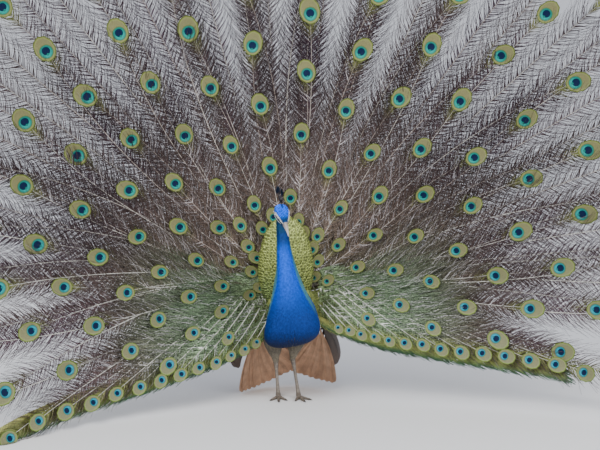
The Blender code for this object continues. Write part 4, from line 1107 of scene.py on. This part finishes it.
barb_across = unit(np.cross(np.gradient(barb_path, axis=1), fan_normal[0, 0]))
barb_half = (0.00042 + 0.0006 * np.tile(webbed, CREST_FEATHERS))[:, None] * (1 - 0.5 * v)
crest_tone = blend((0.004, 0.012, 0.045), (0.005, 0.030, 0.070),
                   np.tile(ease((at - 0.74) / 0.2), CREST_FEATHERS)) * rng.uniform(0.7, 1.3, (len(reach), 1))
add_strips("crest_webs", barb_path, barb_across, barb_half, silk, crest_tone,
           np.repeat(crest_place, len(at), 0))

# ----------------------------------------------------------------------------------------- bill
# Two horny sheaths over the jaws, the upper longer and hooked a little, with a rounded ridge and
# a slit of a nostril near the forehead. The lower one closes 0.3 mm under it.
BILL_BASE, BILL_SPLIT = 0.0378, -0.0030
BILL_ROWS, BILL_SIDES = 34, 28

horn, surface = shader("bill_horn", 0.36)
marks, tone = own_marks(horn), own_tone(horn)
# The nostril is painted shade: the tone is dimmed to a tenth inside the slit, which the bump also presses in.
hole = oval_distance(horn, marks, (0.25, 0.58, 0.0), (10.0, 22.0, 0.0))
pit = node(horn, "MapRange", {"Value": hole, "From Min": 0.7, "From Max": 1.1, "To Min": 0.10}).outputs[0]
vary(horn, surface, dimmed(horn, tone, pit), 380.0, 0.82, 1.12)
emboss(horn, surface, pit, 0.6, 0.0006)

for name, reach in (("bill_upper", 0.042), ("bill_lower", 0.031)):
    u = np.linspace(-0.12, 0.995, BILL_ROWS)[:, None]
    q = np.linspace(0, 2 * math.pi, BILL_SIDES, endpoint=False)[None]
    forward = BILL_BASE + reach * u
    droop = -0.0125 * ((forward - BILL_BASE) / 0.044) ** 2
    if name == "bill_upper":
        top = droop + 0.0088 * (1 - u) ** 0.7 + 0.0006
        bottom = droop + BILL_SPLIT * (1 - u) - 0.0010
        wide = 0.0074 * (1 - u) ** 0.8 + 0.0007
        side = wide * np.sign(np.sin(q)) * np.abs(np.sin(q)) ** (1.0 + 0.35 * (np.cos(q) > 0))
    else:
        bottom = droop - 0.0080 + 0.0042 * u - 0.0004
        gape = droop + BILL_SPLIT * (1 - (forward - BILL_BASE) / 0.042) - 0.0010
        top = np.minimum(droop + BILL_SPLIT + 0.0030 * u - 0.0014, gape - 0.0003)
        wide = 0.0064 * (1 - u) ** 0.8 + 0.0009
        side = wide * np.sin(q)
    up = (top + bottom) / 2 + (top - bottom) / 2 * np.cos(q)
    rings = head_point(forward + 0 * q, side, up + 0 * q)
    points, quads = closed_tube(rings)
    share = np.clip(np.concatenate(([u[0, 0]], u[:, 0], [u[-1, 0]])), 0, 1)[:, None]
    share = share * np.ones((1, BILL_SIDES))
    turn_at = np.abs((q / math.pi + 1.0) % 2.0 - 1.0) * np.ones((BILL_ROWS + 2, 1))
    marks_at = np.stack((share, turn_at if name == "bill_upper" else turn_at * 0.0 + 5.0), -1).reshape(-1, 2)
    pale_tip = blend((0.270, 0.225, 0.205), (0.50, 0.46, 0.42), ease(share.ravel() * 1.2))
    piece = add_piece(name + "_sheath", points, quads, horn, pale_tip,
                      marks_at[quads.reshape(-1)])
    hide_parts(name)

# ----------------------------------------------------------------------------------- eyeballs
# Dark brown eyes with a round black pupil under a wet, clear surface; each looks out sideways.
eyeball, surface = shader("eyeball", 0.12)
surface.inputs["Coat Weight"].default_value = 1.0
surface.inputs["Coat Roughness"].default_value = 0.02
around_gaze = node(eyeball, "SeparateXYZ", {0: own_marks(eyeball)}).outputs[0]
rays = node(eyeball, "ValToRGB", {"Fac": around_gaze})
ramp = rays.color_ramp
ramp.elements[0].color, ramp.elements[1].color = (0.002, 0.002, 0.002, 1), (0.006, 0.004, 0.003, 1)
ramp.elements[0].position, ramp.elements[1].position = 0.150, 0.33
for position, tint in ((0.165, (0.075, 0.034, 0.014, 1)), (0.27, (0.050, 0.022, 0.010, 1))):
    ramp.elements.new(position).color = tint
vary(eyeball, surface, rays.outputs["Color"], 700.0, 0.8, 1.2)
for side, name in ((-1, "right"), (1, "left")):
    middle = head_point(EYE_AT[0], side * EYE_AT[1], EYE_AT[2])
    gaze = unit(head_point(EYE_AT[0] + 0.22, side * (EYE_AT[1] + 1.0), EYE_AT[2] + 0.02) - middle)
    one = unit(np.cross(gaze, (0.0, 0.0, 1.0)))
    two = np.cross(gaze, one)
    p = np.linspace(0.05, math.pi - 0.05, 22)[:, None, None]
    q = np.linspace(0, 2 * math.pi, 28, endpoint=False)[None, :, None]
    ball = middle + EYE_RADIUS * (np.cos(p) * gaze + np.sin(p) * (np.cos(q) * one + np.sin(q) * two))
    points, quads = closed_tube(ball)
    polar = np.arccos(np.clip((unit(points - middle) @ gaze), -1, 1)) / math.pi
    marks_at = np.stack((polar, 0 * polar), -1)
    piece = add_piece("eyeball_" + name, points, quads, eyeball, np.full((len(points), 3), 0.03),
                      marks_at[quads.reshape(-1)])
    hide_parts("eye_" + name)

# ---------------------------------------------------------------------------- golden back shield
# The short feathers of the back stand up in display as a cushion of overlapping scales between
# neck and train: each is a stiff round vane, olive in the middle with a gold-green rim.
SHIELD_AT, SHIELD_SIZE = np.array((0.008, 0.092, 0.457)), np.array((0.093, 0.049, 0.157))
SCALE_SPACING, SCALE_LONG, SCALE_HALF, SCALE_DEPTH = 0.0096, 0.0200, 0.0063, 0.0050


def shield_point(s, angle, off=0.0):
    """Cushion on the back: s runs from its top (0) to its bottom (1); deep in front, flatter behind."""
    s, angle = np.broadcast_arrays(s, angle)
    p = math.pi * s
    full = np.sin(p) ** 0.75
    x, y = full * np.cos(angle), -full * np.sin(angle)
    depth = SHIELD_SIZE[1] * np.where(y < 0, 1.0, 0.34)
    shape = np.stack((x * (SHIELD_SIZE[0] + off) * (1.0 - 0.06 * np.cos(p)), y * (depth + off),
                      (SHIELD_SIZE[2] + off) * np.cos(p)), -1)
    return SHIELD_AT + shape


scales, surface = shader("shield_scales", 0.36, 0.35)
tone, marks = own_tone(scales), own_marks(scales)
spread = oval_distance(scales, marks, (0.0, 0.64, 0.0), (0.95, 2.70, 0.0))
rim = node(scales, "MapRange", {"Value": spread, "From Min": 0.50, "From Max": 0.86, "To Min": 0.30,
                                "To Max": 1.0}, interpolation_type="SMOOTHSTEP").outputs[0]
vary(scales, surface, dimmed(scales, tone, rim), 150.0, 0.8, 1.22)
aside = node(scales, "SeparateXYZ", {0: marks}).outputs[0]
wave = sum_of(scales, "SINE", sum_of(scales, "MULTIPLY", aside, 30.0))
emboss(scales, surface, wave, 0.3, 0.0003)

s, a = np.linspace(0.03, 0.97, 40)[:, None], np.linspace(0, 2 * math.pi, 48, endpoint=False)[None]
points, quads = closed_tube(shield_point(s, a, -SCALE_DEPTH), outward=False)
piece = add_piece("shield_cushion", points, quads, soft_down,
                  np.full((len(points), 3), (0.060, 0.065, 0.020)), np.zeros((quads.size, 2)))
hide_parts("back_shield")
s, a = staggered_rows(shield_point, 0.03, 0.985, SCALE_SPACING, 0.30)
root = shield_point(s, a, -SCALE_DEPTH * 0.9)
out = unit((root - SHIELD_AT) / SHIELD_SIZE ** 2)
grow = root - (SHIELD_AT - (0.0, 0.0, 0.16))
grow = unit(grow - out * np.sum(grow * out, -1, keepdims=True))
long = SCALE_LONG * rng.uniform(0.9, 1.1, len(s)) * (1.0 + 0.25 * (s < 0.3))
tip = root + (grow * 0.93 + out * (0.24 + rng.uniform(0.0, 0.14, (len(s), 1)))) * long[:, None]
gold, teal = np.array((0.460, 0.530, 0.140)), np.array((0.100, 0.340, 0.200))
low_rim = ease((0.455 - root[:, 2]) / 0.10)
beside_neck = ease((0.075 - np.abs(root[:, 0] + 0.004)) / 0.02) * low_rim
scale_tone = blend(gold, (0.420, 0.480, 0.130), low_rim)
scale_tone = blend(scale_tone, teal, 0.25 * beside_neck) * rng.uniform(0.78, 1.2, (len(s), 1))
scale_half = SCALE_HALF * rng.uniform(0.92, 1.08, len(s))
scale_place = np.stack((a / (2 * math.pi), 0.02 + 0.95 * s), -1) % 1.0
add_vanes("shield_scales", root, tip, out, scale_half, scales, scale_tone, scale_place,
          rows=6, columns=5, hump=0.05, crown=0.30,
          outline=((0, 0.25, 0.55, 0.78, 0.92, 1), (0.6, 0.9, 1.0, 0.92, 0.66, 0.22)))

# ----------------------------------------------------------------------------------------- wings
# The wings hang half open beside the legs. Buff coverts barred with dark brown pad the flank, the
# inner flight feathers are blackish brown, and the dozen long outer ones chestnut with dark shafts.
def barred_finish(name, bars, dark):
    """Feather vane whose tone is crossed by wavy bars of a darker shade."""
    material, surface = shader(name, 0.62)
    tone = own_tone(material)
    split = node(material, "SeparateXYZ", {0: own_marks(material)})
    spot = node(material, "TexCoord").outputs["Object"]
    drift = node(material, "TexNoise", {"Vector": spot, "Scale": 70.0, "Detail": 2.0}).outputs["Fac"]
    arc = sum_of(material, "MULTIPLY", split.outputs[0], split.outputs[0])
    arc = sum_of(material, "MULTIPLY", arc, -0.12)
    along = sum_of(material, "ADD", sum_of(material, "ADD", split.outputs[1], arc),
                   sum_of(material, "MULTIPLY", drift, 0.22))
    wave = sum_of(material, "SINE", sum_of(material, "MULTIPLY", along, bars))
    level = node(material, "MapRange", {"Value": wave, "From Min": -0.25, "From Max": 0.25, "To Min": dark})
    vary(material, surface, dimmed(material, tone, level.outputs[0]), 90.0, 0.8, 1.2)
    return material


barred = barred_finish("barred_coverts", 24.0, 0.16)
for side, name in ((-1, "right"), (1, "left")):
    rows, across_n = 11, 10
    u, w = np.meshgrid((np.arange(rows) + 0.2) / rows, (np.arange(across_n) + 0.5) / across_n, indexing="ij")
    w = w + 0.5 / across_n * (np.arange(rows) % 2)[:, None] + rng.uniform(-0.02, 0.02, u.shape)
    u, w = (np.concatenate((v.ravel(), v.ravel() + d)) for v, d in ((u, 0.5 / rows), (w, 0.25 / across_n)))
    w = np.clip(w, 0.0, 1.0)
    root = wing_point(u, w, side, -0.0036)
    tip = wing_point(u - 0.20, w + 0.015, side, 0.0010 + 0.0015 * rng.uniform(0, 1, u.shape))
    out = unit(wing_point(u, w, side, 0.01) - wing_point(u, w, side, 0.0))
    buff = blend((0.360, 0.280, 0.190), (0.420, 0.480, 0.130), ease((u - 0.35) / 0.3))
    buff = buff * rng.uniform(0.75, 1.2, (len(u), 1))
    piece = add_vanes("wing_coverts_" + name, root, tip, out, np.full(len(u), 0.0085), barred,
                      buff, np.stack((0.05 + 0.9 * u, 0.05 + 0.9 * w), -1),
                      rows=6, columns=5, hump=0.04, crown=0.22,
                      outline=((0, 0.3, 0.7, 0.9, 1), (0.5, 0.95, 1.0, 0.7, 0.2)))
    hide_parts("wing_" + name)

chestnut_web = feather_finish("chestnut_web", 0.55, 0.0, 300.0, 0.0003, 0.78, 1.2, 40.0)
dark_web = feather_finish("dark_web", 0.50, 0.05, 300.0, 0.0003, 0.75, 1.25, 40.0)
FLIGHT_ROWS = 18


def flight_feathers(name, roots, tips, bow, count, widen, material, tip_tone, root_tone, roll=0.0):
    """Overlapping flight feathers in place of one node, from a line of roots to a curve of tips.

    u runs along each feather and w over them; widen is half a feather's width in gaps between two.
    """
    (root_a, root_b), (tip_a, tip_m, tip_b) = np.array(roots), np.array(tips)

    def spot(u, w):
        tip = tip_a * (1 - w) ** 2 + tip_m * 2 * w * (1 - w) + tip_b * w * w
        root = root_a + (root_b - root_a) * w
        return root + (tip - root) * u + np.array(bow) * np.sin(0.85 * math.pi * u)

    u = np.linspace(0.0, 1.0, FLIGHT_ROWS)[None, :, None]
    w = ((np.arange(count) + 0.5) / count)[:, None, None]
    path = spot(u, w)
    aside = (spot(u, w + 0.02) - spot(u, w - 0.02)) / 0.04
    along = unit(np.gradient(path, axis=1))
    aside = aside - along * np.sum(aside * along, -1, keepdims=True)
    pitch = np.linalg.norm(aside, axis=-1) / count
    across = unit(aside)
    up = unit(np.cross(across, along))
    up = up * np.sign(np.sum(up * np.array(bow), -1, keepdims=True))
    across, up = across * math.cos(roll) + up * math.sin(roll), up * math.cos(roll) - across * math.sin(roll)
    path = path + up * (0.0010 * (np.arange(count) % 3))[:, None, None]
    half = np.maximum(pitch * widen, 0.0065) * feather_outline(u[0, :, 0], 0.35, 0.35, 0.13)
    tone = blend(root_tone, tip_tone, ease((u[..., 0] - 0.55) / 0.5)) * rng.uniform(0.8, 1.18, (count, 1, 1))
    grid_floor = path.copy()
    grid_floor[..., 2] = np.maximum(grid_floor[..., 2], 0.004)
    place = np.stack((0.1 + 0.8 * w[:, 0, 0], np.full(count, 0.5)), -1)
    piece = add_strips(name + "_feathers", grid_floor, across, half, material, tone, place,
                       0.18, up, columns=7)
    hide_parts(name)
    shaft = np.broadcast_to(np.array(root_tone) * 0.25 + 0.02, grid_floor.shape)
    shaft_half = np.broadcast_to(0.0015 - 0.0010 * u[0, :, 0], half.shape)
    add_strips(name + "_feathers_shafts", grid_floor + up * (0.20 * half)[..., None], across, shaft_half,
               quill, shaft, place, 0.9, up, columns=3)


for side, name in ((-1, "right"), (1, "left")):
    drop, cx = (0.002 if side < 0 else 0.026), 0.016
    flight_feathers("secondaries_" + name,
                    ((cx + side * 0.116, 0.066, 0.255), (cx + side * 0.108, 0.172, 0.340)),
                    ((cx + side * 0.180, 0.150, 0.082), (cx + side * 0.164, 0.262, 0.120),
                     (cx + side * 0.118, 0.275, 0.270)),
                    (side * 0.018, 0.006, 0.004), 10, 1.60, dark_web,
                    (0.095, 0.052, 0.030), (0.060, 0.038, 0.026), 0.70)
    flight_feathers("primaries_" + name,
                    ((cx + side * 0.108, 0.055, 0.240), (cx + side * 0.100, 0.130, 0.205)),
                    ((cx + side * 0.158, 0.110, drop), (cx + side * 0.070, 0.245, drop - 0.010),
                     (cx - side * 0.092, 0.228 + side * 0.008, drop + 0.075)),
                    (side * 0.016, 0.004, 0.004), 12, 1.12, chestnut_web,
                    (0.480, 0.270, 0.155), (0.580, 0.345, 0.210))

# ------------------------------------------------------------------------------- thighs and legs
# Short brown-grey feathers sheathe each thigh to the ankle. Below it the shank and toes are bare:
# the skin there carries rows of horny scutes, and horn makes the spur and the claws.
THIGH_SPACING = 0.0042


def scute_row(middles, way, front, radius, facing, spread, reach):
    """One row of scutes: its columns, with angles in degrees and the half length of each scute."""
    rows = len(middles)
    return (middles, np.broadcast_to(way, (rows, 3)), np.broadcast_to(front, (rows, 3)), radius,
            np.full(rows, math.radians(facing)), np.full(rows, math.radians(spread)), np.full(rows, reach))


parts, plates = [], []
for name in LEGS:
    hip, ankle, heel, ball, toes = leg_lines(name)
    bone = unit(ankle - hip)
    one = unit(np.cross(bone, (0.0, 1.0, 0.0)))
    two = np.cross(bone, one)

    def thigh_point(s, angle, off=0.0):
        s, angle = np.broadcast_arrays(s, angle)
        radius = np.interp(s, THIGH_AT, THIGH_RADIUS) + off
        return hip + (ankle - hip) * s[..., None] + radius[..., None] * (one * np.cos(angle)[..., None]
                                                                         + two * np.sin(angle)[..., None])

    s, a = staggered_rows(thigh_point, -0.25, 1.03, THIGH_SPACING, 0.3)
    long = rng.uniform(0.010, 0.0145, len(s)) * (1.0 - 0.45 * ease((s - 0.7) / 0.3))
    step = long / np.linalg.norm(ankle - hip)
    root = thigh_point(s, a, -0.0030)
    tip = thigh_point(np.minimum(s + step, 1.10), a + rng.normal(0, 0.10, len(s)),
                      0.0008 + rng.uniform(-0.0004, 0.001, len(s)))
    out = unit(thigh_point(s, a, 0.01) - thigh_point(s, a))
    base = blend((0.110, 0.092, 0.064), (0.200, 0.170, 0.118), ease((s - 0.2) / 0.6))
    parts.append((root, tip, out, base * rng.uniform(0.7, 1.3, (len(s), 1)),
                  np.stack((a / (2 * math.pi), s * 0.4 + 0.3), -1)))

    # Scutes: bent plates over the front of the shank and along the top of every toe.
    shank = unit(heel - ankle)
    for rows, spread, facing in ((19, 30, -22), (19, 30, 22), (16, 34, 180)):
        t = (np.arange(rows) + 0.5) / rows * 0.96 + 0.03
        radius = np.interp(t, (0, 0.1, 0.35, 0.7, 0.9, 1.0), (0.0082, 0.0084, 0.0060, 0.0058, 0.0069, 0.0075))
        plates.append(scute_row(ankle + (heel - ankle) * t[:, None], shank, (0.0, -1.0, 0.0), radius,
                                facing, spread, 0.53 * 0.96 * np.linalg.norm(heel - ankle) / rows))
    for toe, (way, length) in toes.items():
        rows = 5 if toe == "hind" else int(length / 0.0042)
        t = (np.arange(rows) + 0.8) / (rows + 0.6)
        plates.append(scute_row(toe_line(ball, way, length, t), way, (0.0, 0.0, 1.0),
                                toe_radius(toe, t) + 0.0001, 0, 62, 0.54 * length / (rows + 0.6)))

root, tip, out, base, place = (np.concatenate([part[k] for part in parts]) for k in range(5))
shin = feather_finish("shin_feathers", 0.7, 0.0, 50.0, 0.0004, 0.7, 1.3, 160.0)
add_vanes("thigh_feathers", root, tip, out, np.full(len(root), 0.0028), shin,
          base[:, None] * np.linspace(0.75, 1.2, 4)[None, :, None], place % 1.0)

middle, along, front, radius, facing, spread, reach = (
    np.concatenate([row[k] for row in plates]) for k in range(7))
front = unit(front - along * np.sum(front * along, -1, keepdims=True))
aside = np.cross(along, front)
c, v = np.linspace(-1, 1, 5)[None, :, None], np.linspace(-1, 1, 4)[None, None, :]
turn = facing[:, None, None] + spread[:, None, None] * c * (1.0 - 0.10 * v ** 2)
bulge = radius[:, None, None] + 0.00055 * (1.0 - c ** 4) * (1.0 - 0.9 * v ** 4) - 0.0001
outward = front[:, None, None] * np.cos(turn)[..., None] + aside[:, None, None] * np.sin(turn)[..., None]
scute = (middle[:, None, None] + along[:, None, None] * (reach[:, None, None] * v)[..., None] * 0.97
         + bulge[..., None] * outward)
scute[..., 2] = np.maximum(scute[..., 2], 0.0004)
index = np.arange(scute[..., 0].size).reshape(scute.shape[:3])
quads = np.stack((index[:, :-1, :-1], index[:, 1:, :-1], index[:, 1:, 1:], index[:, :-1, 1:]), -1)
quads = quads.reshape(-1, 4)
scute_tone = np.array((0.185, 0.152, 0.118)) * rng.uniform(0.75, 1.25, (len(middle), 1))
scute_tone = np.repeat(scute_tone, scute[0, ..., 0].size, 0)
scales_horn, surface = shader("scute_horn", 0.42)
vary(scales_horn, surface, own_tone(scales_horn), 300.0, 0.72, 1.35)
add_piece("leg_scutes", scute, quads, scales_horn, scute_tone)

claw_horn, surface = shader("claw_horn", 0.30)
vary(claw_horn, surface, own_tone(claw_horn), 420.0, 0.7, 1.3, (1, 1, 3))
for name in LEGS:
    hip, ankle, heel, ball, toes = leg_lines(name)
    for toe, (way, length) in toes.items():
        u = np.linspace(-0.25, 1.0, 14)
        start = toe_line(ball, way, length, np.array((1.0,)))[0]
        small = 0.8 if toe == "hind" else 1.0
        hook = 0.0010 - 0.0020 * u ** 2 + 0.0006 * u
        line = start + way * (0.011 * u)[:, None] + np.array((0, 0, 1.0)) * hook[:, None]
        thick = small * np.interp(u, (-0.25, 0, 0.5, 1.0), (0.0030, 0.0030, 0.0021, 0.0004))
        points, quads = closed_tube(tube_rings(line, thick, 12, None, 0.0))
        dark = blend((0.100, 0.080, 0.062), (0.025, 0.022, 0.020), np.full(len(points), 0.5))
        piece = add_piece(f"{name}_{toe}_claw", points, quads, claw_horn, dark)
        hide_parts(f"claw_{name}_{toe}")
    foot_of_spur = ankle + (heel - ankle) * 0.62
    u = np.linspace(0.0, 1.0, 14)
    line = foot_of_spur + (0.0, 0.0035, 0.0) + np.stack((0 * u, 0.0232 * u, 0.0010 * u + 0.0085 * u ** 2), -1)
    points, quads = closed_tube(tube_rings(line, 0.0042 * (1 - u) ** 0.7 + 0.0006, 14))
    piece = add_piece(f"{name}_spur", points, quads, claw_horn, np.full(points.shape, 0.07))
    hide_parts(f"spur_{name}")

# ------------------------------------------------------------------- feathers at the root of the tail
# Short sooty feathers close the blunt end of the rump, inside the ring from which tail and train
# spring: they lie like shingles, pointing down and back over the down under the tail.
ROOT_FEATHERS, ROOT_WIDE, ROOT_LONG = 760, 0.068, 0.034
GOLDEN_TURN = 2.39996                                 # spreads them evenly over a disc, in radians

number = np.arange(ROOT_FEATHERS) + 0.5
share = np.sqrt(number / ROOT_FEATHERS)[:, None]
a = number * GOLDEN_TURN
radial = np.stack((np.sin(a), np.zeros(ROOT_FEATHERS), np.cos(a)), -1)
root = np.array((0.034, 0.236, 0.334)) + radial * ROOT_WIDE * share - np.array((0.0, 0.026, 0.0)) * share ** 2
way = unit(radial * 0.40 * share + np.array((0.0, 0.42, -0.80)) + rng.normal(0.0, 0.10, (ROOT_FEATHERS, 3)))
out = unit(np.array((0.0, 0.90, 0.47)) + radial * 0.30 * share)
sooty = np.array((0.052, 0.040, 0.030)) * rng.uniform(0.6, 1.4, (ROOT_FEATHERS, 1))
tip = root + way * ROOT_LONG * rng.uniform(0.8, 1.15, (ROOT_FEATHERS, 1))
add_vanes("tail_root_feathers", root, tip, out, np.full(ROOT_FEATHERS, 0.0052), soft_down,
          sooty, 0.5 + 0.44 * share * radial[:, (0, 2)], rows=6, columns=3)

# ------------------------------------------------------------------------------- studio and camera
# Plain pale floor that curves up far behind, two large soft lamps and the camera a little to the
# bird's right, at the height of a standing visitor.
CAMERA_AT = np.array((-0.64568, -4.91443, 1.21635)) + MOVE
CAMERA_AIM = np.array((0.045, 0.0, 0.607)) + MOVE


def place_towards(thing, at, aim):
    """Stands a lamp or camera at a point and turns its -Z axis to another."""
    way = np.array(aim) - np.array(at)
    thing.location = at
    thing.rotation_euler = (math.atan2(math.hypot(way[0], way[1]), -way[2]), 0.0, math.atan2(-way[0], way[1]))
    bpy.context.scene.collection.objects.link(thing)


sweep = np.linspace(0.0, 1.0, 25)
run = np.concatenate((np.linspace(-16.0, 18.0, 12), 18.0 + 4.0 * np.sin(sweep[1:] * math.pi / 2), (22.0,)))
rise = np.concatenate((np.zeros(12), 4.0 - 4.0 * np.cos(sweep[1:] * math.pi / 2), (14.0,)))
wide = np.linspace(-26.0, 26.0, 9)
points = np.stack(np.broadcast_arrays(wide[None, :], run[:, None], rise[:, None]), -1)
index = np.arange(points[..., 0].size).reshape(len(run), len(wide))
quads = np.stack((index[:-1, :-1], index[:-1, 1:], index[1:, 1:], index[1:, :-1]), -1)
paper, surface = shader("studio_paper", 0.9, 0.0, (0.87, 0.85, 0.82))
mesh = bpy.data.meshes.new("studio_floor")
mesh.from_pydata(points.reshape(-1, 3).tolist(), [], quads.reshape(-1, 4).tolist())
mesh.polygons.foreach_set("use_smooth", np.ones(len(mesh.polygons), bool))
mesh.materials.append(paper)
floor = bpy.data.objects.new("studio_floor", mesh)
bpy.context.scene.collection.objects.link(floor)

for name, at, aim, power, wide in (("key_lamp", (-2.6, -4.2, 4.6), (0.0, 0.0, 0.6), 330.0, 3.2),
                                   ("fill_lamp", (3.4, -3.4, 2.6), (0.0, 0.0, 0.6), 130.0, 3.0)):
    lamp = bpy.data.lights.new(name, "AREA")
    lamp.energy, lamp.size = power, wide
    place_towards(bpy.data.objects.new(name, lamp), at, aim)

world = bpy.data.worlds.new("studio_air")
world.use_nodes = True
world.node_tree.nodes["Background"].inputs["Color"].default_value = (0.80, 0.86, 1.0, 1.0)
world.node_tree.nodes["Background"].inputs["Strength"].default_value = 0.95
bpy.context.scene.world = world

camera = bpy.data.cameras.new("camera")
camera.lens, camera.sensor_width = 88.24, 36.0
camera_object = bpy.data.objects.new("camera", camera)
place_towards(camera_object, CAMERA_AT, CAMERA_AIM)
bpy.context.scene.camera = camera_object
